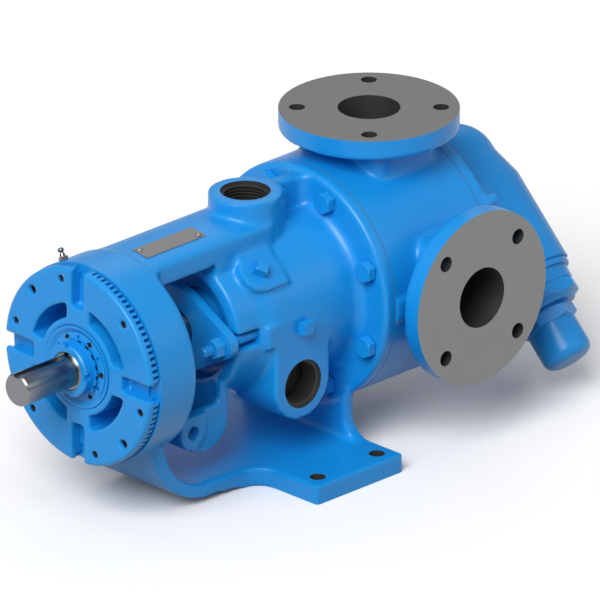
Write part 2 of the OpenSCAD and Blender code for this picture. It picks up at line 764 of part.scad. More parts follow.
module packing_gland() color(blue) on_shaft() difference() {
    union() {
        across(gland_front_x, gland_front_x + gland_t) gland_plate();
        bar(gland_front_x, packing_front_x - 0.3, packing_bore_r - 0.3);
    }
    bar(gland_front_x - bite, packing_x, seal_shaft_r + 0.6);
    for (s = [-1, 1]) bar(gland_front_x - bite, gland_front_x + gland_t + bite,
        stud_d / 2 + 0.6, s * stud_r);
}

module gland_studs() color(blue) on_shaft() for (s = [-1, 1])
    bar(gland_front_x - stud_out, chamber_x + stud_notch_depth + stud_tap, stud_d / 2, s * stud_r);

module gland_nuts() color(blue) on_shaft() for (s = [-1, 1]) translate([0, s * stud_r, 0])
    difference() {
        union() {
            bar(gland_front_x - 1.6, gland_front_x, 10.5);
            translate([gland_front_x - 12, 0, 0]) rotate([0, 90, 0])
                cylinder(h = 11, r = 16 / sqrt(3), $fn = 6);
        }
        bar(gland_front_x - 13, gland_front_x + bite, stud_d / 2 + run);
    }

// Bearing end

module rim_gaps() for (i = [0:rim_teeth - 1]) rotate([360 * (i + 0.5) / rim_teeth, 0, 0])
    translate([barrel_front_x - 7, -PI * housing_rim_r / rim_teeth * 0.42,
        housing_rim_r - rim_tooth_h])
        cube([6, 2 * PI * housing_rim_r / rim_teeth * 0.42, 10]);

module bearing_housing() color(blue) on_shaft() difference() {
    union() {
        turned(concat([[housing_x, bearing_r - 2], [housing_x, housing_face_r - 2]],
            arc([housing_x + 2.5, housing_face_r - 0.5], 2.5, 180, 90),
            [[housing_x + 5, housing_rim_r], [barrel_front_x - 0.3, housing_rim_r],
             [barrel_front_x - 0.3, bearing_r - 2]]));
        ring(barrel_front_x - bite, barrel_back_x, bearing_r - 2, barrel_bore_r - run);
    }
    bar(housing_x - bite, barrel_back_x + bite, bearing_r + seat);
    // kidney pockets between the spokes
    difference() {
        ring(housing_x - bite, housing_x + kidney_depth, hub_r, kidney_r);
        for (a = [0, 90]) rotate([a, 0, 0])
            translate([housing_x - 2 * bite, -spoke_w / 2, -kidney_r - bite])
                cube([kidney_depth + 4 * bite, spoke_w, 2 * kidney_r + 2 * bite]);
    }
    // notches that take a turning bar
    for (a = [0:90:270]) rotate([a, 0, 0]) translate([housing_x - bite, -notch_w / 2, notch_r])
        cube([housing_flange_t - 2 + bite, notch_w, housing_rim_r]);
    rim_gaps();
    for (a = [45:60:345]) rotate([-a, 0, 0])
        bar(housing_x - bite, housing_x + 8, 3.2, -housing_hole_r);
    set_screw_places() bar(housing_x - bite, barrel_front_x + bite, 4 + seat);
}

housing_hole_r = 76;
module set_screw_places() for (a = [135, 315]) rotate([-a, 0, 0])
    translate([0, -housing_hole_r, 0]) children();

module housing_set_screws() color(steel) on_shaft() set_screw_places() difference() {
    bar(housing_x + 3.5, barrel_front_x, 4);
    translate([housing_x + 2, 0, 0]) rotate([0, 90, 0]) cylinder(h = 5, r = 2.4, $fn = 6);
}

module race_rows() for (s = [-1, 1]) translate([bearing_x + bearing_w / 2 + s * row_gap / 2, 0, 0])
    children();

module ball_groove() rotate([0, 90, 0]) rotate_extrude() translate([ball_pitch_r, 0])
    circle(ball_r + 0.1);

module bearing_outer_race() color(bright) on_shaft() difference() {
    ring(bearing_x, bearing_back_x, outer_race_r, bearing_r);
    race_rows() ball_groove();
}

module bearing_inner_race() color(bright) on_shaft() difference() {
    ring(bearing_x, bearing_back_x, seat_rad + seat, inner_race_r);
    race_rows() ball_groove();
}

module at_balls() race_rows() around(balls_in_row) translate([0, ball_pitch_r, 0]) children();

module bearing_cage() color(bronze) on_shaft() difference() {
    ring(bearing_x + 2, bearing_back_x - 2, ball_pitch_r - 1.4, ball_pitch_r + 1.4);
    at_balls() rotate([90, 0, 0]) cylinder(h = 8, r = ball_r + 0.1, center = true);
}

module bearing_balls() color(bright) on_shaft() at_balls() sphere(ball_r);

module outer_end_cap() color(blue) on_shaft() difference() {
    turned([[housing_x + 1, spacer_r + 1.6], [housing_x + 2.2, bearing_r - 6],
        [housing_x, bearing_r - 2], [housing_x, bearing_r], [bearing_x - 0.1, bearing_r],
        [bearing_x - 0.1, lip_seal_r + seat], [housing_x + 5, lip_seal_r + seat],
        [housing_x + 5, spacer_r + 1.6]]);
    around(6, 30) bar(housing_x - bite, housing_x + 4, 1.8, 26.5);
}

module inner_end_cap() color(steel) on_shaft()
    turned([[bearing_back_x + 0.1, lip_seal_r + seat], [bearing_back_x + 0.1, bearing_r],
        [bearing_back_x + inner_cap_t + 2, bearing_r],
        [bearing_back_x + inner_cap_t + 2, spacer_r + 1.6],
        [bearing_back_x + inner_cap_t, spacer_r + 1.6],
        [bearing_back_x + inner_cap_t, lip_seal_r + seat]]);

// A lip seal with its hollow back
module lip_seal(x0, x1) turned([[x0, spacer_r + run], [x0, lip_seal_r], [x1, lip_seal_r],
    [x1, lip_seal_r - 3], [x0 + 2, lip_seal_r - 3], [x0 + 2, spacer_r + 3],
    [x1 - 0.5, spacer_r + 3], [x1 - 0.5, spacer_r + run]]);

module outer_lip_seal() color(rubber) on_shaft() lip_seal(housing_x + 5, bearing_x - 0.2);

module inner_lip_seal() color(rubber) on_shaft()
    lip_seal(bearing_back_x + 0.2, bearing_back_x + inner_cap_t);

module outer_spacer() color(bright) on_shaft()
    ring(housing_x - 1.1, bearing_x, seat_rad + seat, spacer_r);

module inner_spacer() color(bright) on_shaft()
    ring(bearing_back_x, bush_shoulder_x - half_ring_t, seat_rad + seat, spacer_r);

module half_round_rings() color(bright) on_shaft() difference() {
    ring(bush_shoulder_x - half_ring_t, bush_shoulder_x, seat_rad - 1.5 + seat, spacer_r);
    translate([bush_shoulder_x - 10, -spacer_r - bite, -0.3]) cube([20, 2 * spacer_r + 2 * bite, 0.6]);
}

washer_x = housing_x - 1.1 - washer_t;

module locknut() color(blue) on_shaft() difference() {
    ring(washer_x - nut_t + 0.5, washer_x, seat_rad + seat, nut_r);
    for (a = [0:90:270]) rotate([a, 0, 0])
        translate([washer_x - nut_t, -2.8, nut_r - 2.2]) cube([6, 5.6, 5]);
}

module lockwasher() color(blue) on_shaft() {
    ring(washer_x, washer_x + washer_t, seat_rad + seat, nut_r - 0.6);
    around(17) translate([washer_x, -1.9, nut_r - 1.6]) cube([washer_t, 3.8, 4]);
    translate([washer_x, -2.4, seat_rad - 2.2]) cube([washer_t, 4.8, 3.4]);
}

// Small fittings

module grease_fitting() color(bright) on_shaft() grease_place() {
    translate([0, 0, -10]) cylinder(h = 10.5, r = 2.5);
    cylinder(h = 3, r = 4.2, $fn = 6);
    translate([0, 0, 3]) cylinder(h = 5, r1 = 2.8, r2 = 2);
    translate([0, 0, 8]) sphere(2.9);
}

plate_len = 69;
plate_w = 18;
plate_tilt = 6.6;
plate_x = barrel_back_x + 9;
bridge_r = barrel_r - 1.2;

module name_plate() color("#8e8e8e") on_shaft() rotate([plate_tilt, 0, 0]) difference() {
    intersection() {
        ring(plate_x, plate_x + plate_len, bridge_r + seat, bridge_r + 0.9);
        translate([plate_x, -plate_w / 2, 0]) cube([plate_len, plate_w, barrel_r + 5]);
    }
    rivet_places() translate([0, 0, -4]) cylinder(h = 8, r = 1.6 + seat);
}

module rivet_places() for (s = [-1, 1])
    translate([plate_x + plate_len / 2 + s * (plate_len / 2 - 5), -s * (plate_w / 2 - 4), bridge_r + 1])
        children();

module name_plate_rivets() color("#9a9a9a") on_shaft() rotate([plate_tilt, 0, 0])
    rivet_places() {
        cylinder(h = 1.1, r1 = 2.9, r2 = 1.8);
        translate([0, 0, -0.9]) cylinder(h = 1.2, r = 1.6);
    }

module square_plugs() color(blue) on_shaft() plug_places() {
    translate([0, 0, -8.5]) cylinder(h = 9, r = plug_r);
    translate([-5.3, -5.3, 0]) cube([10.6, 10.6, 8]);
}

// Relief valve

body_profile = concat(
    [[0, -dome_reach], [dome_r - 12, -dome_reach]],
    arc([dome_r - 12, -dome_reach + 12], 12, -90, 0),
    [[dome_r, -39], [valve_r, -12.7], [valve_r, bonnet_reach], [0, bonnet_reach]]);

module valve_turned(points) rotate_extrude() polygon(points);

module valve_body() color(blue) on_valve() difference() {
    union() {
        valve_turned(body_profile);
        translate([valve_foot_x - valve_x, 0, 0]) rotate([90, 0, 90])
            linear_extrude(valve_flange_t) round_square(pad_w, pad_len, 16);
        translate([valve_foot_x - valve_x, 0, -4]) rotate([90, 0, 90])
            linear_extrude(valve_x - valve_foot_x) round_square(pad_w - 16, 116, 26);
    }
    valve_turned([[0, bore_bottom], [valve_bore_r, bore_bottom], [valve_bore_r, seat_z - seat_t],
        [seat_r, seat_z - seat_t], [seat_r, seat_z], [valve_bore_r, seat_z],
        [valve_bore_r, bonnet_reach + bite], [0, bonnet_reach + bite]]);
    for (s = [-1, 1]) translate([valve_foot_x - valve_x - bite, 0, s * 38]) rotate([0, 90, 0])
        cylinder(h = valve_x - valve_foot_x + bite, r = passage_r);
    translate([valve_foot_x - valve_x, 0, 0]) pad_bolts() {
        bar(-bite, valve_flange_t + bite, valve_bolt_d / 2 + seat);
        bar(valve_flange_t, 2 * valve_flange_t, 12);
    }
}

module valve_gasket() color(gasket_colour) on_valve() translate([pad_x - valve_x, 0, 0])
    difference() {
        rotate([90, 0, 90]) linear_extrude(gasket_t) round_square(pad_w - 1, pad_len - 1, 15.5);
        for (s = [-1, 1]) bar(-bite, gasket_t + bite, passage_r, 0, s * 38);
        pad_bolts() bar(-bite, gasket_t + bite, 5.5);
    }

module valve_capscrews() color(blue) on_valve() translate([valve_foot_x - valve_x, 0, 0])
    pad_bolts() rear_hex_screw(valve_flange_t, valve_bolt_af, valve_bolt_head, valve_bolt_d,
        valve_flange_t + gasket_t + tap_depth);

module valve_poppet() color(bright) on_valve() difference() {
    valve_turned([[0, seat_z - 4], [seat_r - 2, seat_z - 4], [seat_r - 0.3, seat_z],
        [valve_bore_r - run, seat_z], [valve_bore_r - run, poppet_top + 22],
        [coil_r + wire_d / 2 + 2, poppet_top + 22], [coil_r + wire_d / 2 + 2, poppet_top],
        [0, poppet_top]]);
    for (i = [0:5]) rotate(60 * i) translate([0, 0, poppet_top + 3]) rotate([0, 90, 0])
        cylinder(h = 40, r = 2.2);
}

// One point of a swept wire ring: station t runs from 0 to 1 along the coil
function coil_point(t, a, bottom, top) = let (turn = 360 * coil_turns * t,
    closed = 0.5 - 0.5 * cos(180 * t), rise = bottom + (top - bottom) * (0.25 * closed + 0.75 * t))
    [(coil_r + wire_d / 2 * cos(a)) * cos(turn), (coil_r + wire_d / 2 * cos(a)) * sin(turn),
     rise + wire_d / 2 * sin(a)];

module valve_spring() color(steel) on_valve() {
    sides = 8;
    stations = coil_turns * 16;
    bottom = poppet_top + wire_d / 2 + 0.1;
    top = guide_z - wire_d / 2 - 0.1;
    polyhedron(
        points = [for (i = [0:stations]) for (j = [0:sides - 1])
            coil_point(i / stations, 360 * j / sides, bottom, top)],
        faces = concat([[for (j = [0:sides - 1]) j]],
            [for (i = [0:stations - 1]) for (j = [0:sides - 1])
                let (k = (j + 1) % sides) [i * sides + j, (i + 1) * sides + j,
                    (i + 1) * sides + k, i * sides + k]],
            [[for (j = [sides - 1:-1:0]) stations * sides + j]]));
}

module spring_guide() color(steel) on_valve() union() {
    translate([0, 0, guide_z]) cylinder(h = guide_t, r = 19);
    translate([0, 0, guide_z - 9]) cylinder(h = 10, r = coil_r - wire_d / 2 - 1.2);
}

module valve_bonnet() color(blue) on_valve() difference() {
    union() {
        translate([0, 0, bonnet_z]) cylinder(h = 5, r = valve_r - 1.7);
        translate([0, 0, bonnet_z + 5]) cylinder(h = 4, r = 36);
        translate([0, 0, bonnet_z + 7]) cylinder(h = 14, r = 38.5, $fn = 8);
        translate([0, 0, bonnet_z + 20]) cylinder(h = bonnet_h - 20, r = 35);
        translate([0, 0, bonnet_reach - 8]) cylinder(h = 10, r = valve_bore_r - seat);
    }
    translate([0, 0, bonnet_reach - 9]) cylinder(h = 21, r = 20);
    cylinder(h = cap_z + bite, r = adjuster_d / 2 + run);
}

module bonnet_gasket() color(gasket_colour) on_valve() difference() {
    translate([0, 0, bonnet_reach]) cylinder(h = gasket_t, r = valve_r - 2);
    translate([0, 0, bonnet_reach - bite]) cylinder(h = gasket_t + 2 * bite, r = valve_bore_r);
}

module adjusting_screw() color(steel) on_valve()
    translate([0, 0, guide_z + guide_t]) cylinder(h = cap_z + 34 - guide_z - guide_t,
        r = adjuster_d / 2);

module adjusting_locknut() color(steel) on_valve() translate([0, 0, cap_z]) difference() {
    cylinder(h = 8, r = 24 / sqrt(3), $fn = 6);
    translate([0, 0, -bite]) cylinder(h = 10, r = adjuster_d / 2 + run);
}

module valve_cap() color(blue) on_valve() translate([0, 0, cap_z + gasket_t]) difference() {
    union() {
        cylinder(h = cap_hex_h, r = cap_hex_r, $fn = 6);
        valve_turned(concat([[0, 0], [cap_r, 0]], arc([cap_r - 9, cap_h - 9], 9, 0, 90),
            [[0, cap_h]]));
    }
    translate([0, 0, -bite]) cylinder(h = cap_h - 4, r = 15.5);
}

module cap_gasket() color(gasket_colour) on_valve() translate([0, 0, cap_z]) difference() {
    cylinder(h = gasket_t, r = cap_r);
    translate([0, 0, -bite]) cylinder(h = gasket_t + 2 * bite, r = 15.5);
}

bracket();
casing();
head();
bracket_gasket();
head_gasket();
bracket_capscrews();
head_capscrews();
shaft();
rotor();
idler_gear();
idler_bushing();
idler_pin();
bracket_bushing();
packing_rings();
packing_gland();
gland_studs();
gland_nuts();
bearing_housing();
bearing_outer_race();
bearing_inner_race();
bearing_cage();
bearing_balls();
outer_end_cap();
inner_end_cap();
outer_lip_seal();
inner_lip_seal();
outer_spacer();
inner_spacer();
half_round_rings();
locknut();
lockwasher();
housing_set_screws();
grease_fitting();
name_plate();
name_plate_rivets();
square_plugs();
valve_body();
valve_gasket();
valve_capscrews();
valve_poppet();
valve_spring();
spring_guide();
valve_bonnet();
bonnet_gasket();
adjusting_screw();
adjusting_locknut();
valve_cap();
cap_gasket();
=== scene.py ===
import json
import math

import bmesh
import bpy
from mathutils import Matrix, Vector

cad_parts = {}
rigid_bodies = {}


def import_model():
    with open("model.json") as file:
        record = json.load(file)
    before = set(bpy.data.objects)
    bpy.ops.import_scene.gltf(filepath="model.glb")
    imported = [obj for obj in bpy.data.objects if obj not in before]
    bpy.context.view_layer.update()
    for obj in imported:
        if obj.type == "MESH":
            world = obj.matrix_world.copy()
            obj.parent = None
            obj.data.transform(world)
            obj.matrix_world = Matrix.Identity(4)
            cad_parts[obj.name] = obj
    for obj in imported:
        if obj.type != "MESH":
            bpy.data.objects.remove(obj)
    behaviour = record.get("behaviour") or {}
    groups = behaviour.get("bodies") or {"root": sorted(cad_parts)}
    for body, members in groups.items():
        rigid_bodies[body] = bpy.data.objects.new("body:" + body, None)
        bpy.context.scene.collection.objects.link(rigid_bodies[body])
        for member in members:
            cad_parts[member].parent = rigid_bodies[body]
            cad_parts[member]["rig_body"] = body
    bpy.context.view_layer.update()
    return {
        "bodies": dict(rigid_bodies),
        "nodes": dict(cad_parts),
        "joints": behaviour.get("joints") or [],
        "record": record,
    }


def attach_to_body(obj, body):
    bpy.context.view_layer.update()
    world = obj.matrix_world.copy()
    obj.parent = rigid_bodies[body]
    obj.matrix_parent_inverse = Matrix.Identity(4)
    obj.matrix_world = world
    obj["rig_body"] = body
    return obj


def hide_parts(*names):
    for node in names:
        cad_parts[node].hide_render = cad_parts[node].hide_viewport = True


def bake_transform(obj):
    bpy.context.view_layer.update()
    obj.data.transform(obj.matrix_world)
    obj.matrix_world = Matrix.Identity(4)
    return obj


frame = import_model()
nodes = frame["nodes"]
mm = 0.001
shaftOrigin = Vector((127.5, 0, 139.7))   # port centreline on the shaft axis, from the row origin


# Camera and light

cameraSetup = {
    "azimuth": -45.0,         # degrees round from the side port's face
    "elevation": 22.87,
    "aim": (0.0163, -0.0295, 0.1397),   # row point at the middle of the picture
    "lens": 1500.0,           # the photograph shows no perspective, so the lens is long
    "sensor": 36.0,
    "pictureWidth": 0.50125,  # metres across at the aim point
}


def placeCamera(setup):
    camera = bpy.data.objects.new("studioCamera", bpy.data.cameras.new("studioCamera"))
    bpy.context.scene.collection.objects.link(camera)
    camera.data.sensor_width = setup["sensor"]
    camera.data.lens = setup["lens"]
    turn, rise = math.radians(setup["azimuth"]), math.radians(setup["elevation"])
    back = Vector((math.sin(turn) * math.cos(rise), -math.cos(turn) * math.cos(rise), math.sin(rise)))
    reach = setup["pictureWidth"] * setup["lens"] / setup["sensor"]
    camera.location = Vector(setup["aim"]) + back * reach
    camera.rotation_mode = "QUATERNION"
    camera.rotation_quaternion = (-back).to_track_quat("-Z", "Y")
    camera.data.clip_start, camera.data.clip_end = 0.1, 100.0
    bpy.context.scene.camera = camera


def toLinear(code):
    # sRGB hex to linear colour with alpha
    parts = [int(code[i:i + 2], 16) / 255 for i in (1, 3, 5)]
    return tuple(p / 12.92 if p <= 0.04045 else ((p + 0.055) / 1.055) ** 2.4 for p in parts) + (1.0,)


def addNode(tree, kind, settings=None, inputs=None):
    node = tree.nodes.new(kind)
    for name, value in (settings or {}).items():
        setattr(node, name, value)
    for name, value in (inputs or {}).items():
        socket = node.inputs[name]
        if isinstance(value, bpy.types.NodeSocket):
            tree.links.new(value, socket)
        else:
            socket.default_value = value
    return node


lampSetup = {
    "key": {"from": (-1.0, -0.5, 1.05), "spread": 34.0, "strength": 2.6},
    "soft": {"leftSoft": {"at": (-2.4, -0.5, 1.7), "size": 1.6, "power": 9.0},
             "rightSoft": {"at": (1.6, -2.6, 1.5), "size": 1.6, "power": 6.0},
             "rearSoft": {"at": (1.8, 1.6, 2.2), "size": 1.4, "power": 4.0}},
    "skyStrength": 0.43,
}


def addLamp(name, lamp, spot, target):
    holder = bpy.data.objects.new(name, lamp)
    bpy.context.scene.collection.objects.link(holder)
    holder.location = spot
    holder.rotation_mode = "QUATERNION"
    holder.rotation_quaternion = (Vector(target) - Vector(spot)).to_track_quat("-Z", "Y")


def directRay(tree):
    # 1 for what the camera sees, also in a mirror or through glass, and 0 for scattered light
    path = addNode(tree, "ShaderNodeLightPath")
    mirrored = addNode(tree, "ShaderNodeMath", {"operation": "MAXIMUM"},
                       {0: path.outputs["Is Glossy Ray"], 1: path.outputs["Is Transmission Ray"]})
    return addNode(tree, "ShaderNodeMath", {"operation": "MAXIMUM"},
                   {0: path.outputs["Is Camera Ray"], 1: mirrored.outputs[0]}).outputs[0]


def placeLamps(setup):
    aim = cameraSetup["aim"]
    key = bpy.data.lights.new("keySun", "SUN")
    key.energy = setup["key"]["strength"]
    key.angle = math.radians(setup["key"]["spread"])
    addLamp("keySun", key, Vector(aim) + 3 * Vector(setup["key"]["from"]), aim)
    for name, values in setup["soft"].items():
        lamp = bpy.data.lights.new(name, "AREA")
        lamp.shape = "DISK"
        lamp.size = values["size"]
        lamp.energy = values["power"]
        addLamp(name, lamp, values["at"], aim)
    world = bpy.data.worlds.new("studioSky")
    bpy.context.scene.world = world
    world.use_nodes = True
    tree = world.node_tree
    tree.nodes.clear()
    light = addNode(tree, "ShaderNodeBackground", None,
                    {"Color": toLinear("#fdfdff"), "Strength": setup["skyStrength"]})
    path = addNode(tree, "ShaderNodeLightPath")
    white = addNode(tree, "ShaderNodeBackground", None, {"Color": (1, 1, 1, 1), "Strength": 1.0})
    mix = addNode(tree, "ShaderNodeMixShader", None,
                  {0: path.outputs["Is Camera Ray"], 1: light.outputs[0], 2: white.outputs[0]})
    addNode(tree, "ShaderNodeOutputWorld", None, {"Surface": mix.outputs[0]})
    bpy.context.scene.view_settings.view_transform = "Standard"


def layFloor():
    bm = bmesh.new()
    bmesh.ops.create_circle(bm, cap_ends=True, segments=96, radius=9.0)
    bmesh.ops.translate(bm, verts=bm.verts, vec=(0, 0, -0.0002))
    floor = makeObject("studioFloor", bm)
    floor.data.materials.append(materials["floorPaper"])


# Mesh helpers

def makeObject(name, bm):
    mesh = bpy.data.meshes.new(name)
    bm.to_mesh(mesh)
    bm.free()
    made = bpy.data.objects.new(name, mesh)
    bpy.context.scene.collection.objects.link(made)
    return made


def smoothByAngle(mesh, limit):
    bm = bmesh.new()
    bm.from_mesh(mesh)
    for face in bm.faces:
        face.smooth = True
    for edge in bm.edges:
        edge.smooth = len(edge.link_faces) == 2 and edge.calc_face_angle(0) < math.radians(limit)
    bm.to_mesh(mesh)
    bm.free()


def applyModifiers(piece):
    bpy.context.view_layer.update()
    graph = bpy.context.evaluated_depsgraph_get()
    mesh = bpy.data.meshes.new_from_object(piece.evaluated_get(graph))
    piece.modifiers.clear()
    piece.data = mesh


# Materials

materials = {}


def startMaterial(name, **values):
    material = bpy.data.materials.new(name)
    material.use_nodes = True
    tree = material.node_tree
    tree.nodes.clear()
    shader = addNode(tree, "ShaderNodeBsdfPrincipled", None, values)
    addNode(tree, "ShaderNodeOutputMaterial", None, {"Surface": shader.outputs[0]})
    place = addNode(tree, "ShaderNodeTexCoord").outputs["Object"]
    materials[name] = material
    return tree, shader, place


def perMetre(size):
    # noise scale for features of this size in millimetres
    return 1000.0 / size


def castEnamel(name, colour, deep, grain, bumpDepth):
    # Semi-gloss enamel sprayed over a fine sand casting: smooth gloss that breaks up over the sand skin
    tree, shader, place = startMaterial(name, **{"Roughness": 0.38, "Coat Weight": 0.1,
                                                 "Coat Roughness": 0.2, "IOR": 1.45})
    wide = addNode(tree, "ShaderNodeTexNoise", None,
                   {"Vector": place, "Scale": perMetre(60), "Detail": 3.0, "Roughness": 0.5})
    tint = addNode(tree, "ShaderNodeMix", {"data_type": "RGBA"},
                   {0: wide.outputs["Fac"], 6: toLinear(deep), 7: toLinear(colour)})
    tree.links.new(tint.outputs[2], shader.inputs["Base Color"])
    sand = addNode(tree, "ShaderNodeTexNoise", None,
                   {"Vector": place, "Scale": perMetre(grain), "Detail": 4.0, "Roughness": 0.55})
    swell = addNode(tree, "ShaderNodeTexNoise", None,
                    {"Vector": place, "Scale": perMetre(14), "Detail": 2.0, "Roughness": 0.5})
    both = addNode(tree, "ShaderNodeMath", {"operation": "MULTIPLY_ADD"},
                   {0: swell.outputs["Fac"], 1: 1.6, 2: sand.outputs["Fac"]})
    bump = addNode(tree, "ShaderNodeBump", None,
                   {"Height": both.outputs[0], "Strength": 0.35, "Distance": bumpDepth * mm})
    tree.links.new(bump.outputs[0], shader.inputs["Normal"])
    gloss = addNode(tree, "ShaderNodeMapRange", None,
                    {"Value": sand.outputs["Fac"], "From Min": 0.3, "From Max": 0.7,
                     "To Min": 0.33, "To Max": 0.44})
    tree.links.new(gloss.outputs[0], shader.inputs["Roughness"])


def turnedMetal(name, colour, low, high, groove, depth, kind="BANDS", axis="X", centre=(0, 0, 0)):
    # Lathe-turned metal: fine tool rings about an axis, and a slight cloudiness from handling
    tree, shader, place = startMaterial(name, **{"Metallic": 1.0, "Base Color": toLinear(colour)})
    held = addNode(tree, "ShaderNodeVectorMath", {"operation": "SUBTRACT"},
                   {0: place, 1: Vector(centre) * mm})
    side = {"BANDS": "bands_direction", "RINGS": "rings_direction"}[kind]
    rings = addNode(tree, "ShaderNodeTexWave",
                    {"wave_type": kind, side: axis, "wave_profile": "SIN"},
                    {"Vector": held.outputs[0], "Scale": perMetre(groove) / 20, "Distortion": 0.6,
                     "Detail": 2.0, "Detail Scale": 1.5})
    cloud = addNode(tree, "ShaderNodeTexNoise", None,
                    {"Vector": place, "Scale": perMetre(16), "Detail": 2.0, "Roughness": 0.45})
    rough = addNode(tree, "ShaderNodeMapRange", None,
                    {"Value": cloud.outputs["Fac"], "From Min": 0.3, "From Max": 0.7,
                     "To Min": low, "To Max": high})
    tree.links.new(rough.outputs[0], shader.inputs["Roughness"])
    bump = addNode(tree, "ShaderNodeBump", None,
                   {"Height": rings.outputs["Fac"], "Strength": 0.3, "Distance": depth * mm})
    tree.links.new(bump.outputs[0], shader.inputs["Normal"])


def roughPlain(name, colour, deep, size, roughness, metallic=0.0, depth=0.05):
    # Plain stock with a broken surface, such as fibre sheet, black oxide or bronze
    tree, shader, place = startMaterial(name, **{"Metallic": metallic, "Roughness": roughness})
    cloud = addNode(tree, "ShaderNodeTexNoise", None,
                    {"Vector": place, "Scale": perMetre(size), "Detail": 4.0, "Roughness": 0.6})
    tint = addNode(tree, "ShaderNodeMix", {"data_type": "RGBA"},
                   {0: cloud.outputs["Fac"], 6: toLinear(deep), 7: toLinear(colour)})
    tree.links.new(tint.outputs[2], shader.inputs["Base Color"])
    bump = addNode(tree, "ShaderNodeBump", None,
                   {"Height": cloud.outputs["Fac"], "Strength": 0.4, "Distance": depth * mm})
    tree.links.new(bump.outputs[0], shader.inputs["Normal"])


def floorMaterial(seen, bounced):
    # pale paper to the eye, while the light it throws back under the pump is subdued
    tree, shader = startMaterial("floorPaper", **{"Roughness": 0.9, "Specular IOR Level": 0.0})[:2]
    tint = addNode(tree, "ShaderNodeMix", {"data_type": "RGBA"},
                   {0: directRay(tree), 6: toLinear(bounced), 7: toLinear(seen)})
    tree.links.new(tint.outputs[2], shader.inputs["Base Color"])


def makeMaterials():
    # enamel on castings shows the sand skin; on machined or small parts it lies smoother
    castEnamel("blueCastEnamel", "#0f8fdc", "#0c87d2", 1.1, 0.10)
    castEnamel("blueSmoothEnamel", "#1190de", "#0e8ad6", 0.8, 0.035)
    # gasket faces are turned about the port, so their rings run round it and stay matt; the top face is
    # painted a lighter grey than the side face, painted light and shade on one machined finish
    turnedMetal("topPortFaceLitCopy", "#939393", 0.46, 0.5, 0.7, 0.012, "RINGS", "Z", shaftOrigin)
    turnedMetal("sidePortFaceShadedCopy", "#868686", 0.46, 0.5, 0.7, 0.012, "RINGS", "Y", shaftOrigin)
    turnedMetal("machinedFace", "#868686", 0.42, 0.5, 0.6, 0.02)
    # the shaft is ground, with a brighter and tighter shine than the turned faces
    turnedMetal("groundSteel", "#848587", 0.22, 0.27, 0.5, 0.005)
    # bare iron inside: the iron's own grey on the thread crests and in the bores; the dark bare iron in the
    # holes and thread roots is painted shade over unpainted iron
    roughPlain("cutThread", "#5d5b59", "#545250", 2.2, 0.4, 0.85, 0.02)
    roughPlain("boredIron", "#6c6a68", "#5e5c5a", 2.2, 0.42, 0.8, 0.03)
    roughPlain("bareIronPaintedShade", "#413f3d", "#292726", 1.6, 0.6, 0.3, 0.08)
    roughPlain("blackOxide", "#2b2c2f", "#1d1e20", 2.0, 0.45, 0.6)
    roughPlain("bronzeBush", "#a98446", "#8a6a36", 2.5, 0.35, 1.0)
    roughPlain("fibreSheet", "#6b6054", "#554a40", 0.8, 0.9)
    roughPlain("nitrileRubber", "#161616", "#101010", 1.5, 0.6)
    roughPlain("graphiteBraid", "#3a3834", "#23211f", 1.8, 0.8, 0.0, 0.3)
    roughPlain("satinPlate", "#8c8c8c", "#848484", 1.2, 0.42, 0.6, 0.01)
    floorMaterial("#fbfbfb", "#808080")


slotLooks = {
    "painted_casting": "blueCastEnamel",
    "painted_fastener": "blueSmoothEnamel",
    "turned_steel": "groundSteel",
    "machined_iron": "machinedFace",
    "dark_steel": "blackOxide",
    "bronze": "bronzeBush",
    "gasket_sheet": "fibreSheet",
    "seal_rubber": "nitrileRubber",
    "braided_packing": "graphiteBraid",
    "plate_metal": "satinPlate",
}


# Frames and tool shapes: a local X axis along what is turned, lengths in millimetres

valveAxis = Vector((0, -1, -1)).normalized()


def axisFrame(point, direction):
    turn = Vector(direction).to_track_quat("X", "Z").to_matrix().to_4x4()
    return Matrix.Translation((shaftOrigin + Vector(point)) * mm) @ turn


shaftFrame = axisFrame((0, 0, 0), (1, 0, 0))
topPort = axisFrame((0, 0, 0), (0, 0, 1))
sidePort = axisFrame((0, 0, 0), (0, -1, 0))
valveFrame = axisFrame((135, 0, 0), valveAxis)


def keepShape(bm, frame):
    bmesh.ops.recalc_face_normals(bm, faces=bm.faces)
    bmesh.ops.transform(bm, matrix=frame, verts=bm.verts)
    mesh = bpy.data.meshes.new("shape")
    bm.to_mesh(mesh)
    bm.free()
    return mesh


def turnedShape(points, frame=shaftFrame, steps=96):
    # [station, radius] points turned round the frame's X axis; a ring where no point is on it
    bm = bmesh.new()
    verts = [bm.verts.new((station * mm, 0, radius * mm)) for station, radius in points]
    edges = [bm.edges.new(pair) for pair in zip(verts, verts[1:])]
    if points[0][1] > 0:
        edges.append(bm.edges.new((verts[-1], verts[0])))
    bmesh.ops.spin(bm, geom=verts + edges, cent=(0, 0, 0), axis=(1, 0, 0), dvec=(0, 0, 0),
                   angle=2 * math.pi, steps=steps, use_merge=True, use_duplicate=False)
    bmesh.ops.remove_doubles(bm, verts=bm.verts, dist=1e-7)
    return keepShape(bm, frame)


def rodShape(start, end, radius, frame=shaftFrame, steps=64):
    return turnedShape([(start, 0), (start, radius), (end, radius), (end, 0)], frame, steps)


def ringShape(start, end, inner, outer, frame=shaftFrame, steps=128):
    return turnedShape([(start, inner), (start, outer), (end, outer), (end, inner)], frame, steps)


def blockShape(low, high, frame=shaftFrame):
    bm = bmesh.new()
    bmesh.ops.create_cube(bm, size=1.0)
    low, high = Vector(low), Vector(high)
    bmesh.ops.transform(bm, matrix=Matrix.Translation((low + high) / 2 * mm)
                        @ Matrix.Diagonal(((high - low) * mm).to_4d()), verts=bm.verts)
    return keepShape(bm, frame)


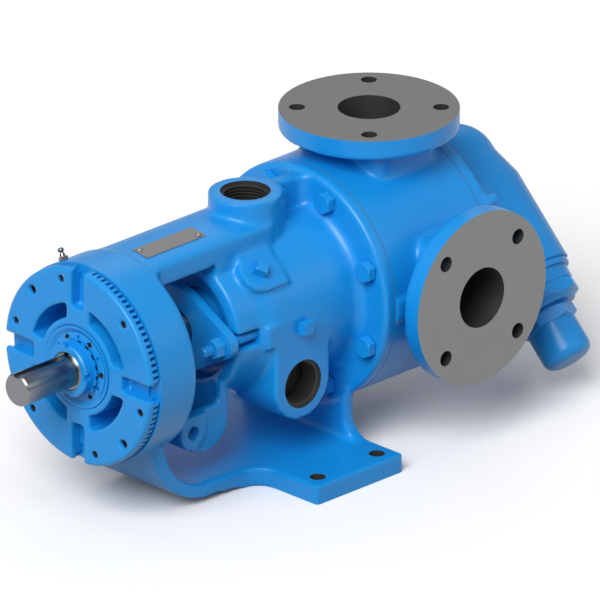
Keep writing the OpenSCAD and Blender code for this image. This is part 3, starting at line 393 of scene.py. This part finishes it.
def prismShape(start, end, flats, frame, sides=6, crown=0.96, hole=0.0, bothEnds=False):
    # nut, bolt head or square: its corners turned off at the end face, and at the start if asked
    steps = 8 * sides
    half = math.pi / sides
    turns = [2 * math.pi * i / steps for i in range(steps)]
    reach = [flats / 2 / math.cos((a + half) % (2 * half) - half) for a in turns]
    small = [min(r, flats / 2 * crown) for r in reach]
    drop = [(r - q) * 0.577 for r, q in zip(reach, small)]
    rows = [[(end - d, r) for d, r in zip(drop, reach)], [(end, q) for q in small]]
    if bothEnds:
        rows = [[(start, q) for q in small], [(start + d, r) for d, r in zip(drop, reach)]] + rows
    else:
        rows.insert(0, [(start, r) for r in reach])
    if hole:
        rows = [[(start, hole)] * steps] + rows + [[(end, hole)] * steps]
    bm = bmesh.new()
    lines = [[bm.verts.new((x * mm, r * mm * math.cos(a), r * mm * math.sin(a)))
              for (x, r), a in zip(row, turns)] for row in rows]
    for low, high in list(zip(lines, lines[1:])) + ([(lines[-1], lines[0])] if hole else []):
        for i in range(steps):
            bm.faces.new((low[i - 1], low[i], high[i], high[i - 1]))
    if not hole:
        bm.faces.new(lines[0])
        bm.faces.new(lines[-1])
    return keepShape(bm, frame)


def threadShape(start, end, root, crest, pitch, frame, steps=28):
    # one helical ridge from the root radius to the crest radius, inward or outward
    bm = bmesh.new()
    verts = [bm.verts.new((x * mm, 0, r * mm)) for x, r in
             ((start, root), (start + pitch * 0.28, crest), (start + pitch * 0.62, crest),
              (start + pitch * 0.9, root))]
    edges = [bm.edges.new((verts[i - 1], verts[i])) for i in range(4)]
    count = round((end - start - pitch) / pitch * steps)
    bmesh.ops.spin(bm, geom=verts + edges, cent=(0, 0, 0), axis=(1, 0, 0),
                   dvec=(pitch * mm / steps, 0, 0), angle=2 * math.pi * count / steps, steps=count)
    bmesh.ops.holes_fill(bm, edges=bm.edges)
    return keepShape(bm, frame)


def ringPlaces(count, radius, start=0.0):
    # (y, z) points round the shaft axis
    angles = [math.radians(start + 360 * i / count) for i in range(count)]
    return [(radius * math.cos(a), radius * math.sin(a)) for a in angles]


def gather(name, shapes):
    bm = bmesh.new()
    for shape in shapes:
        bm.from_mesh(shape)
        bpy.data.meshes.remove(shape)
    return makeObject(name, bm)


def attach(piece, shapes):
    # sets closed shapes into a piece without joining their surfaces
    bm = bmesh.new()
    bm.from_mesh(piece.data)
    for shape in shapes:
        bm.from_mesh(shape)
        bpy.data.meshes.remove(shape)
    bm.to_mesh(piece.data)
    bm.free()


def combine(piece, shapes, how):
    # adds or takes away closed shapes; shapes of one call don't touch each other
    tool = gather("tool", shapes)
    change = piece.modifiers.new("combine", "BOOLEAN")
    change.operation, change.object, change.solver = how, tool, "MANIFOLD"
    applyModifiers(piece)
    bpy.data.objects.remove(tool)


def carved(shape, tools, how="DIFFERENCE"):
    # one closed shape after the others have cut it, each in turn
    piece = gather("carving", [shape])
    for tool in tools:
        combine(piece, [tool], how)
    mesh = piece.data
    bpy.data.objects.remove(piece)
    return mesh


def copyNode(name, piece):
    bm = bmesh.new()
    bm.from_mesh(nodes[name].data)
    bmesh.ops.remove_doubles(bm, verts=bm.verts, dist=1e-6)
    return makeObject(piece, bm)


def castSkin(piece, voxel, rounds):
    # rounds every edge and corner as a sand casting has them
    skin = piece.modifiers.new("skin", "REMESH")
    skin.mode, skin.voxel_size = "VOXEL", voxel * mm
    applyModifiers(piece)
    bm = bmesh.new()
    bm.from_mesh(piece.data)
    for _ in range(rounds):
        bmesh.ops.smooth_vert(bm, verts=bm.verts, factor=0.5,
                              use_axis_x=True, use_axis_y=True, use_axis_z=True)
    bm.to_mesh(piece.data)
    bm.free()


slots = {part["node"]: part["material_slot"] for part in frame["record"]["subparts"]}


def dress(piece, looks, replaced, sharp):
    smoothByAngle(piece.data, sharp)
    piece.data.materials.clear()
    for look in looks:
        piece.data.materials.append(materials[look])
    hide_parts(*replaced)


def finish(piece, looks, replaced, sharp=30):
    dress(piece, looks, replaced, sharp)
    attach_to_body(piece, nodes[replaced[0]]["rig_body"])


def paintHole(piece, look, frame, start, end, radius, floor=False):
    # the wall of a hole on the frame's X axis, and its floor if asked, get that material
    index = piece.data.materials.find(look)
    home, axis = frame.inverted(), (frame.to_3x3() @ Vector((1, 0, 0))).normalized()
    for face in piece.data.polygons:
        spot = home @ face.center / mm
        if start < spot.x < end and math.hypot(spot.y, spot.z) < radius:
            if floor or abs(face.normal.dot(axis)) < 0.6:
                face.material_index = index


def paintFlat(piece, look, frame, station, radius):
    # the flat face at that station of the frame's X axis gets that material
    index = piece.data.materials.find(look)
    home, axis = frame.inverted(), (frame.to_3x3() @ Vector((1, 0, 0))).normalized()
    for face in piece.data.polygons:
        spot = home @ face.center / mm
        if abs(spot.x - station) < 0.05 and math.hypot(spot.y, spot.z) < radius \
                and face.normal.dot(axis) > 0.98:
            face.material_index = index


# Bracket

plugLook = {"flats": 10.6, "head": 8.0, "core": 6.5, "depth": 8.5, "tilt": 42.5, "reach": 70.0,
            "upperX": -178.0, "sideSpot": (-146.1, -68, -2)}


def upperPlugFrame(look):
    # X out of the pad, Y along the shaft, Z round the chamber
    tilt = math.radians(look["tilt"])
    out = Vector((0, -math.sin(tilt), math.cos(tilt)))
    around = Vector((0, math.cos(tilt), math.sin(tilt)))
    turn = Matrix((out, Vector((1, 0, 0)), around)).transposed()
    spot = Vector((look["upperX"], 0, 0)) + look["reach"] * out
    return Matrix.Translation((shaftOrigin + spot) * mm) @ turn.to_4x4()


def sidePlugFrame(look):
    return axisFrame(look["sideSpot"], (0, -1, 0))


ribLook = {"rear": -124.0, "front": -82.5, "inner": 6.0, "edge": 18.5, "bottom": 60.0, "top": 99.3,
           "round": 12.0, "arcs": (-103.5, -95.0)}


def ribCorners(look):
    # round inside corners of the pockets on either side of the rib behind the top boss
    made = []
    edge, radius = look["edge"], look["round"]
    first, last = look["arcs"]
    for side in (-1, 1):
        low, high = sorted((side * look["inner"], side * edge))
        near, far = sorted((side * (edge - radius), side * (edge + radius)))
        corner = blockShape((look["rear"], low, look["bottom"]), (look["front"], high, look["top"]))
        arcs = [rodShape(look["bottom"] - 20, look["top"] + 11, radius,
                         axisFrame((x, side * edge, 0), (0, 0, 1))) for x in (first, last)]
        between = blockShape((first, near, look["bottom"] - 10), (last, far, look["top"] + 11))
        made.append(carved(corner, arcs + [between]))
    return made


bridgeLook = {"rear": -276.0, "front": -291.0, "inner": 31.0, "outer": 46.0, "bottom": 44.0, "top": 90.0,
              "round": 13.0, "barrel": (70.3, 86.2)}


def bridgeCorners(look):
    # the top bridge widens in a round corner where it meets the bearing barrel
    made = []
    for side in (-1, 1):
        low, high = sorted((side * look["inner"], side * look["outer"]))
        corner = carved(blockShape((look["front"], low, look["bottom"]), (look["rear"], high, look["top"])),
                        [rodShape(30, 100, look["round"],
                                  axisFrame((look["rear"], side * look["outer"], 0), (0, 0, 1)))])
        barrel = ringShape(look["front"] - 1, look["rear"] + 2, *look["barrel"])
        made.append(carved(corner, [barrel], "INTERSECT"))
    return made


troughLook = {"centre": (-232, 0, -72),
              "fill": {"low": (-232, -37, -91), "high": (-213.5, 37, -72), "round": 18.0},
              "cut": {"low": (-232, -50, -98), "high": (-206, 50, -72), "round": 24.0}}


def troughCorner(look, part):
    # the lower rear corner of the drip trough, filled round inside and cut round outside
    across, values = axisFrame(look["centre"], (0, 1, 0)), look[part]
    return carved(blockShape(values["low"], values["high"]), [rodShape(-60, 60, values["round"], across)])


webLook = {"profile": [(-95, 73.8), (-92.5, 74.2), (-88, 76.2), (-85.2, 79.2), (-83.4, 84), (-83.4, 98),
                       (-95, 110)],
           "low": (-100, -125, -125), "high": (-80, 125, -30)}


def webCut(look):
    # the web under the chamber lies flush with the front of the bracket flange
    return carved(turnedShape(look["profile"]), [blockShape(look["low"], look["high"])], "INTERSECT")


padLook = {"slope": 9.5, "start": 4.0, "end": 80.0, "halfWidth": 19.2, "chamber": 69.2}


def padSlope(look, place):
    # the pad of the upper plug sinks into the chamber towards the flange
    tilted = place @ Matrix.Rotation(math.radians(-look["slope"]), 4, "Z")
    radius = look["chamber"]
    return carved(blockShape((0, look["start"], -look["halfWidth"]), (30, look["end"], look["halfWidth"]),
                             tilted),
                  [turnedShape([(-200, 0), (-200, radius), (-60, radius), (-60, 0)])])


bracketLook = {"voxel": 2.0, "rounds": 3, "joint": -72.4, "flange": (62.0, 103.3), "spigot": 63.4,
               "barrelFront": -331.0, "barrelRadius": 87.5, "barrelBore": 70.0, "barrelDepth": 47.0,
               "boss": -146.1, "topBoss": 100.8, "sideBoss": 68.0, "sideDrop": 54.0, "hole": 20.2,
               "holeDepth": 23.0, "mouth": 1.6, "pipePitch": 3.0, "threadDepth": 2.0,
               "base": -139.7, "padLow": (-178, -117), "padHigh": (-77, 117), "padThick": 16.4,
               "footMiddle": -127.5, "footHalfX": 34.925, "footHalfY": 101.6, "footHole": 6.75,
               "studNotch": {"low": -217.0, "high": -190.0, "sides": (-76, 40), "width": 36.0, "half": 7.0},
               "screwHole": 5.52, "screwCircle": 89.0}


def makeBracket(look):
    piece = copyNode("bracket", "bracket_casting")
    joint, boss, base, front = look["joint"], look["boss"], look["base"], look["barrelFront"]
    topBoss = axisFrame((boss, 0, 0), (0, 0, 1))
    sideBoss = axisFrame((boss, 0, -look["sideDrop"]), (0, -1, 0))
    upperPlug = upperPlugFrame(plugLook)
    footSpots = [axisFrame((look["footMiddle"] + sx * look["footHalfX"], sy * look["footHalfY"], base),
                           (0, 0, 1)) for sx in (-1, 1) for sy in (-1, 1)]
    holes = [(reach - look["holeDepth"], reach, look["hole"], place)
             for reach, place in ((look["topBoss"], topBoss), (look["sideBoss"], sideBoss))]
    # machined faces and holes are filled, so that the skin rounds only what was cast
    combine(piece, [rodShape(a, b, r + 0.4, place) for a, b, r, place in holes]
            + [rodShape(0.5, look["padThick"], look["footHole"] + 0.4, place) for place in footSpots]
            + [ringShape(joint - 3, joint + 8, *look["flange"])]
            + [rodShape(front - 7, front + 8, look["barrelRadius"])], "UNION")
    combine(piece, [blockShape((*look["padLow"], base - 7.3), (*look["padHigh"], base + 3.7))]
            + [rodShape(-9.5, -0.05, 7.2, place) for place in (sidePlugFrame(plugLook), upperPlug)],
            "UNION")
    combine(piece, ribCorners(ribLook) + bridgeCorners(bridgeLook) + [troughCorner(troughLook, "fill")],
            "UNION")
    combine(piece, [webCut(webLook), padSlope(padLook, upperPlug), troughCorner(troughLook, "cut")],
            "DIFFERENCE")
    castSkin(piece, look["voxel"], look["rounds"])
    notch = look["studNotch"]
    combine(piece, [rodShape(a, b + 12, r, place) for a, b, r, place in holes]
            + [rodShape(-12, 40.0, look["footHole"], place) for place in footSpots]
            + [blockShape((notch["low"], side, -notch["half"]),
                          (notch["high"], side + notch["width"], notch["half"]))
               for side in notch["sides"]], "DIFFERENCE")
    combine(piece, [rodShape(b - look["mouth"], b + 3, r + 1.1, place) for a, b, r, place in holes],
            "DIFFERENCE")
    combine(piece, [ringShape(joint, joint + 16, look["spigot"], 118.0),
                    rodShape(front - 20, front, 110.0),
                    blockShape((-190, -130, base - 20.3), (-60, 130, base))], "DIFFERENCE")
    combine(piece, [rodShape(front - 5, front + look["barrelDepth"], look["barrelBore"])]
            + [rodShape(joint - 10, joint + 3, look["screwHole"], axisFrame((0, y, z), (1, 0, 0)))
               for y, z in ringPlaces(8, look["screwCircle"], 22.5)], "DIFFERENCE")
    attach(piece, [threadShape(a + 0.5, b - look["mouth"], r + 0.3, r - look["threadDepth"],
                               look["pipePitch"], place) for a, b, r, place in holes])
    finish(piece, ["blueCastEnamel", "bareIronPaintedShade", "cutThread"], ["bracket"])
    # painted shade: the tapped holes are dark bare iron on walls, floors and thread roots, with the thread
    # crests in the iron's own grey
    for a, b, r, place in holes:
        paintHole(piece, "bareIronPaintedShade", place, a - 1, b - 0.05, r + 1.3, True)
        paintHole(piece, "cutThread", place, a + 0.4, b - 1.2, r - look["threadDepth"] + 0.4)
    # painted shade: the foot holes are bare iron darkened where shade falls
    for place in footSpots:
        paintHole(piece, "bareIronPaintedShade", place, 0.1, look["padThick"], look["footHole"] + 0.3)


# Casing, head and relief valve

casingLook = {"voxel": 1.9, "rounds": 5, "front": -71.6, "rear": 43.0, "bore": 26.4,
              "rim": (66.0, 103.3), "reach": 133.35, "flange": 76.2, "flangeThick": 19.0,
              "hole": 6.75, "circle": 60.325}


def makeCasing(look):
    piece = copyNode("casing", "casing_casting")
    ports = (topPort, sidePort)
    reach, bore, hole, thick = look["reach"], look["bore"], look["hole"], look["flangeThick"]
    portHoles = []
    for port in ports:
        for a in (45, 135, 225, 315):
            spot = Matrix.Translation((0, look["circle"] * mm, 0))
            portHoles.append(port @ Matrix.Rotation(math.radians(a), 4, "X") @ spot)
    combine(piece, [rodShape(reach - thick, reach - 1, hole + 0.4, place) for place in portHoles]
            + [rodShape(69, reach - 4, bore + 0.4, port) for port in ports], "UNION")
    combine(piece, [rodShape(reach - 3, reach + 7, look["flange"], port) for port in ports]
            + [ringShape(look["front"] - 7, look["front"] + 3, *look["rim"]),
               ringShape(look["rear"] - 3, look["rear"] + 7, *look["rim"])], "UNION")
    castSkin(piece, look["voxel"], look["rounds"])
    combine(piece, [rodShape(reach, reach + 20, 90.0, port) for port in ports]
            + [rodShape(look["front"] - 14, look["front"], 118.0),
               rodShape(look["rear"], look["rear"] + 14, 118.0)], "DIFFERENCE")
    combine(piece, [rodShape(reach - thick - 3, reach + 3, hole, place) for place in portHoles]
            + [rodShape(55, reach + 3, bore, port, 96) for port in ports], "DIFFERENCE")
    finish(piece, ["blueCastEnamel", "topPortFaceLitCopy", "sidePortFaceShadedCopy", "boredIron", "bareIronPaintedShade"], ["casing"])
    # painted light and shade: the top port face gets the lighter grey and the side port face the darker one
    for face, port in (("topPortFaceLitCopy", topPort), ("sidePortFaceShadedCopy", sidePort)):
        paintFlat(piece, face, port, reach, look["flange"] - 0.6)
        paintHole(piece, "boredIron", port, 50, reach - 0.1, bore + 0.3)
    # painted shade: the bolt holes through the port flanges are bare iron darkened where shade falls
    for place in portHoles:
        paintHole(piece, "bareIronPaintedShade", place, reach - thick + 1, reach - 0.1, hole + 0.3)


headLook = {"voxel": 1.9, "rounds": 5, "front": 43.8, "rim": (64.5, 103.3), "spigot": 63.4,
            "lugTurn": 55, "lugLow": (56.2, 2.5, 84), "lugHigh": (69, 9, 106)}


def makeHead(look):
    piece = copyNode("head", "head_casting")
    front = look["front"]
    combine(piece, [ringShape(front - 7, front + 3, *look["rim"])], "UNION")
    lug = shaftFrame @ Matrix.Rotation(math.radians(look["lugTurn"]), 4, "X")
    combine(piece, [blockShape(look["lugLow"], look["lugHigh"], lug)], "DIFFERENCE")
    castSkin(piece, look["voxel"], look["rounds"])
    combine(piece, [ringShape(front - 14, front, look["spigot"], 118.0)], "DIFFERENCE")
    finish(piece, ["blueCastEnamel"], ["head"])


valveBodyLook = {"voxel": 1.7, "rounds": 4, "dome": 36.0, "domeCentre": -44.0, "end": 70.3, "rim": 42.7}


def makeValveBody(look):
    body = copyNode("valve_body", "valve_body_casting")
    centre, dome, end = look["domeCentre"], look["dome"], look["end"]
    turns = [math.radians(a) for a in range(90, 180, 6)]
    roundEnd = [(centre + dome * math.cos(a), dome * math.sin(a)) for a in turns]
    outside = [(centre - 42, 0), (centre - 42, 52), (centre, 52)]
    combine(body, [turnedShape(outside + roundEnd + [(centre - dome, 0)], valveFrame)], "DIFFERENCE")
    combine(body, [ringShape(end - 3, end + 6, 30.0, look["rim"], valveFrame)], "UNION")
    castSkin(body, look["voxel"], look["rounds"])
    combine(body, [ringShape(end, end + 12, 10.0, 60.0, valveFrame)], "DIFFERENCE")
    finish(body, ["blueCastEnamel"], ["valve_body"])


bonnetLook = {"start": 71.1, "end": 103.5, "spigot": 20.08, "spigotLong": 8.8, "screwBore": 8.05,
              "springBore": 20.0, "springDepth": 11.2, "flats": 72.4, "sides": 8}


def makeBonnet(look):
    # outside, from the valve body outwards: a rim, a neck under it, the wrench flats and a chamfer
    start, end = look["start"], look["end"]
    foot, floor = start - look["spigotLong"], start + look["springDepth"]
    shell = turnedShape(
        [(foot, look["springBore"]), (foot, look["spigot"]), (start, look["spigot"]), (start, 40.4),
         (start + 0.6, 41.0), (start + 4.4, 41.0), (start + 5.2, 40.2), (start + 5.4, 37.6),
         (start + 16.5, 37.2), (start + 17.2, 36.4), (start + 27.0, 36.0), (start + 31.4, 31.6),
         (end, 30.6), (end, look["screwBore"]), (floor, look["screwBore"]), (floor, look["springBore"])],
        valveFrame)
    flats = prismShape(start + 16.0, start + 29.0, look["flats"], valveFrame, look["sides"], 0.965, 30.0,
                       True)
    finish(gather("valve_bonnet_casting", [shell, flats]), ["blueCastEnamel"], ["valve_bonnet"])


capLook = {"start": 104.3, "tall": 46.0, "radius": 22.2, "hollow": 15.5, "round": 9.0, "crown": 5.0,
           "flats": 46.0, "flatsTall": 12.5}


def makeCap(look):
    start, end = look["start"], look["start"] + look["tall"]
    radius, hollow, corner = look["radius"], look["hollow"], look["round"]
    edge = [(end - corner + corner * math.sin(a), radius - corner + corner * math.cos(a))
            for a in [math.radians(15 * i) for i in range(7)]]
    shell = turnedShape([(start + 0.3, hollow), (start + 0.3, radius)] + edge
                        + [(end, 0), (end - look["crown"], 0), (end - look["crown"], hollow)], valveFrame)
    flats = prismShape(start, start + look["flatsTall"], look["flats"], valveFrame, 6, 0.97, hollow + 0.5,
                       True)
    finish(gather("valve_cap_casting", [shell, flats]), ["blueCastEnamel"], ["valve_cap"])


# Bearing end

housingLook = {"voxel": 1.25, "rounds": 4, "front": -343.4, "rimFront": -338.2, "rimBack": -331.3,
               "rimInner": 78.0, "rim": 86.5, "teeth": 100, "toothHeight": 5.0, "gapShare": 0.5,
               "gapStart": -338.6, "gapEnd": -331.2, "notch": 7.0, "notchInner": 55.0, "notchEnd": -333.0,
               "rimCut": 74.0, "rimCutEnd": -331.0, "clear": 92.0, "hole": 2.7, "holeCircle": 76.0,
               "holeDepth": 10.0}


def makeHousing(look):
    piece = copyNode("bearing_housing", "bearing_housing_casting")
    front, rim, half, clear = look["front"], look["rim"], look["notch"], look["clear"]
    combine(piece, [ringShape(look["rimFront"], look["rimBack"], look["rimInner"], rim)], "UNION")
    castSkin(piece, look["voxel"], look["rounds"])
    gap = math.pi * rim / look["teeth"] * look["gapShare"]
    cuts = []
    for i in range(look["teeth"]):
        turn = Matrix.Rotation(2 * math.pi * (i + 0.5) / look["teeth"], 4, "X")
        cuts.append(blockShape((look["gapStart"], -gap, rim - look["toothHeight"]),
                               (look["gapEnd"], gap, rim + 6), shaftFrame @ turn))
    combine(piece, cuts, "DIFFERENCE")
    quarters = [shaftFrame @ Matrix.Rotation(math.pi / 2 * i, 4, "X") for i in range(4)]
    combine(piece, [blockShape((front - 2, -half, look["notchInner"]), (look["notchEnd"], half, clear), q)
                    for q in quarters], "DIFFERENCE")
    combine(piece, [blockShape((look["notchEnd"] - 1, -half, look["rimCut"]),
                               (look["rimCutEnd"], half, clear), q) for q in quarters], "DIFFERENCE")
    places = [axisFrame((0, -y, z), (1, 0, 0)) for y, z in ringPlaces(6, look["holeCircle"], 45)]
    combine(piece, [rodShape(front - 2, front + look["holeDepth"], look["hole"], place, 32)
                    for place in places], "DIFFERENCE")
    finish(piece, ["blueSmoothEnamel", "bareIronPaintedShade"], ["bearing_housing"])
    # painted shade: each hole stays blue for its first 1.5 mm and is dark bare iron deeper down
    for place in places:
        paintHole(piece, "bareIronPaintedShade", place, front + 1.5, front + 12, look["hole"] + 0.3, True)


endCapLook = {"face": -342.6, "cutFrom": -345.0, "floor": -339.0, "hole": 2.1, "circle": 26.8, "count": 6}


def makeEndCap(look):
    # puller holes just outside the lockwasher's tabs
    piece = copyNode("outer_end_cap", "outer_end_cap_plate")
    places = [axisFrame((0, y, z), (1, 0, 0)) for y, z in ringPlaces(look["count"], look["circle"])]
    combine(piece, [rodShape(look["cutFrom"], look["floor"], look["hole"], place, 24)
                    for place in places], "DIFFERENCE")
    finish(piece, ["blueSmoothEnamel", "bareIronPaintedShade"], ["outer_end_cap"], 28)
    # painted shade: the puller holes are dark bare iron on walls and floor
    for place in places:
        paintHole(piece, "bareIronPaintedShade", place, look["face"], look["floor"] + 1, look["hole"] + 0.3, True)


nutLook = {"front": -355.5, "rear": -346.0, "bore": 16.55, "radius": 23.0, "chamfer": 1.2, "slot": 5.6,
           "slotFloor": 20.8, "slotLong": 5.5}
washerLook = {"front": -346.0, "rear": -344.5, "bore": 16.55, "radius": 23.9, "tabs": 17, "tabWidth": 4.6,
              "tabRoot": 21.4, "tabReach": 25.4, "keyWidth": 4.8, "keyReach": 14.35, "keyRoot": 19.0}


def makeLocknut(look):
    front, rear, edge, bore = look["front"], look["rear"], look["radius"], look["bore"]
    profile = [(front, bore + 0.4), (front, edge - look["chamfer"]), (front + look["chamfer"], edge),
               (rear, edge), (rear, bore), (front + 0.4, bore)]
    piece = gather("slotted_locknut", [turnedShape(profile)])
    quarters = [shaftFrame @ Matrix.Rotation(math.pi / 2 * i, 4, "X") for i in range(4)]
    half = look["slot"] / 2
    combine(piece, [blockShape((front - 2, -half, look["slotFloor"]),
                               (front + look["slotLong"], half, edge + 3), q) for q in quarters],
            "DIFFERENCE")
    finish(piece, ["blueSmoothEnamel"], ["locknut"])


def makeLockwasher(look):
    # a ring with outer tabs and one inner key, all just inside the ring's faces
    front, rear = look["front"] + 0.02, look["rear"] - 0.02
    half, wide = look["keyWidth"] / 2, look["tabWidth"] / 2
    tabs = [ringShape(look["front"], look["rear"], look["bore"], look["radius"]),
            blockShape((front, -half, look["keyReach"]), (rear, half, look["keyRoot"]))]
    for i in range(look["tabs"]):
        turn = shaftFrame @ Matrix.Rotation(2 * math.pi * i / look["tabs"], 4, "X")
        tabs.append(blockShape((front, -wide, look["tabRoot"]), (rear, wide, look["tabReach"]), turn))
    finish(gather("tabbed_lockwasher", tabs), ["blueSmoothEnamel"], ["lockwasher"])


greaseLook = {"station": -322.0, "turn": 25.0, "reach": 87.5, "flats": 7.2, "hexTall": 3.0}


def makeGreaseFitting(look):
    turn = math.radians(look["turn"])
    out = Vector((0, math.sin(turn), math.cos(turn)))
    place = axisFrame(Vector((look["station"], 0, 0)) + out * look["reach"], out)
    stem = [(-10, 0), (-10, 2.5), (0.3, 2.5), (0.3, 0)]
    ball = [(2.8, 0), (2.8, 2.7), (5.0, 2.3), (6.4, 1.7), (7.0, 1.75), (7.8, 2.5), (8.8, 2.8), (9.8, 2.4),
            (10.6, 1.3), (10.7, 0.7), (10.2, 0.5), (10.2, 0)]
    shapes = [prismShape(0, look["hexTall"], look["flats"], place),
              turnedShape(stem, place, 24), turnedShape(ball, place, 32)]
    finish(gather("grease_nipple", shapes), ["groundSteel"], ["grease_fitting"])


# Screws, studs, nuts and plugs

screwLook = {"bracket": {"face": -83.0, "flats": 17.0, "head": 8.0, "shank": 5.5, "length": 30.4,
                         "circle": 89.0},
             "head": {"face": 55.8, "flats": 17.0, "head": 7.0, "shank": 5.5, "length": 31.8,
                      "circle": 86.0},
             "valve": {"face": 83.6, "flats": 15.0, "head": 6.5, "shank": 5.0, "length": 31.8,
                       "across": 31.0, "along": 60.0},
             "washer": 0.7}


def capScrew(frame, values):
    # washer face, chamfered hexagon and plain shank; the frame's X axis points out of the head
    washer = screwLook["washer"]
    return [rodShape(0, washer + 0.2, values["flats"] * 0.475, frame, 32),
            prismShape(washer, values["head"], values["flats"], frame),
            rodShape(-values["length"], 0.5, values["shank"], frame, 24)]


def makeScrews(look):
    for name, way in (("bracket", -1), ("head", 1)):
        values = look[name]
        shapes = []
        for y, z in ringPlaces(8, values["circle"], 22.5):
            shapes += capScrew(axisFrame((values["face"], y, z), (way, 0, 0)), values)
        finish(gather(name + "_screw_set", shapes), ["blueSmoothEnamel"], [name + "_capscrews"])
    values = look["valve"]
    shapes = []
    across = Vector((0, -1, 1)).normalized()
    for sideways in (-values["across"], values["across"]):
        for along in (-values["along"], values["along"]):
            spot = Vector((values["face"], 0, 0)) + across * sideways + valveAxis * along
            shapes += capScrew(axisFrame(spot, (1, 0, 0)), values)
    finish(gather("valve_screw_set", shapes), ["blueSmoothEnamel"], ["valve_capscrews"])


glandLook = {"front": -228.0, "stud": 4.75, "pitch": 1.59, "spread": 53.0, "studStart": -250.0,
             "studEnd": -175.0, "flats": 16.0, "washer": 10.5, "washerThick": 1.6, "nutEnd": 12.0}


def makeGlandFasteners(look):
    studs, nuts = [], []
    start, end, thick = look["studStart"], look["studEnd"], look["washerThick"]
    core, bore = look["stud"] - 0.55 * look["pitch"], look["stud"] + 0.05
    for side in (-1, 1):
        frame = axisFrame((0, side * look["spread"], 0), (1, 0, 0))
        studs.append(turnedShape([(start, 0), (start, core - 0.6), (start + 1.2, core + 0.3),
                                  (end, core + 0.3), (end, 0)], frame, 32))
        studs.append(threadShape(start + 0.9, end - 1, core + 0.2, look["stud"], look["pitch"], frame))
        nutFrame = axisFrame((look["front"], side * look["spread"], 0), (-1, 0, 0))
        nuts.append(ringShape(0, thick, bore, look["washer"], nutFrame, 48))
        nuts.append(prismShape(thick, look["nutEnd"], look["flats"], nutFrame, hole=bore, bothEnds=True))
    finish(gather("gland_stud_pair", studs), ["blueSmoothEnamel"], ["gland_studs"])
    finish(gather("gland_nut_pair", nuts), ["blueSmoothEnamel"], ["gland_nuts"])


def makePlugs(look):
    # the upper plug's square stands on its corner
    shapes = []
    cornered = upperPlugFrame(look) @ Matrix.Rotation(math.pi / 4, 4, "X")
    for place in (sidePlugFrame(look), cornered):
        shapes.append(rodShape(-look["depth"], -0.2, look["core"], place, 40))
        shapes.append(prismShape(-0.4, look["head"], look["flats"], place, 4, 1.14))
    finish(gather("square_plug_pair", shapes), ["blueSmoothEnamel"], ["square_plugs"])


# Springy pieces, and every node that has no shape of its own above

def squeeze(node, name):
    # a dressed copy of the springy node, with its transform baked into the mesh and kept out of the bodies
    piece = copyNode(node, name)
    dress(piece, [slotLooks[slots[node]]], [node], 28)
    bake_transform(piece)


sprayed = {"bonnet_gasket": "blueSmoothEnamel", "cap_gasket": "blueSmoothEnamel"}   # enamel covers them
ownShapes = ["bracket", "casing", "head", "valve_body", "valve_bonnet", "valve_cap", "bearing_housing",
             "outer_end_cap", "valve_spring", "packing_rings", "bracket_capscrews", "head_capscrews",
             "valve_capscrews", "gland_studs", "gland_nuts", "square_plugs", "locknut", "lockwasher",
             "grease_fitting"]


def dressNodes(done):
    for name in sorted(set(nodes) - set(done)):
        piece = copyNode(name, name + "_dressed")
        finish(piece, [sprayed.get(name, slotLooks[slots[name]])], [name], 28)


placeCamera(cameraSetup)
placeLamps(lampSetup)
makeMaterials()
layFloor()
print("stage: camera, lamps, floor and materials")
makeBracket(bracketLook)
makeCasing(casingLook)
makeHead(headLook)
makeValveBody(valveBodyLook)
makeBonnet(bonnetLook)
makeCap(capLook)
makeHousing(housingLook)
print("stage: castings")
makeScrews(screwLook)
makeGlandFasteners(glandLook)
makePlugs(plugLook)
makeLocknut(nutLook)
makeLockwasher(washerLook)
makeEndCap(endCapLook)
makeGreaseFitting(greaseLook)
print("stage: fasteners and fittings")
squeeze("valve_spring", "valve_spring_coil")
squeeze("packing_rings", "packing_ring_set")
dressNodes(ownShapes)
print("stage: nodes dressed")
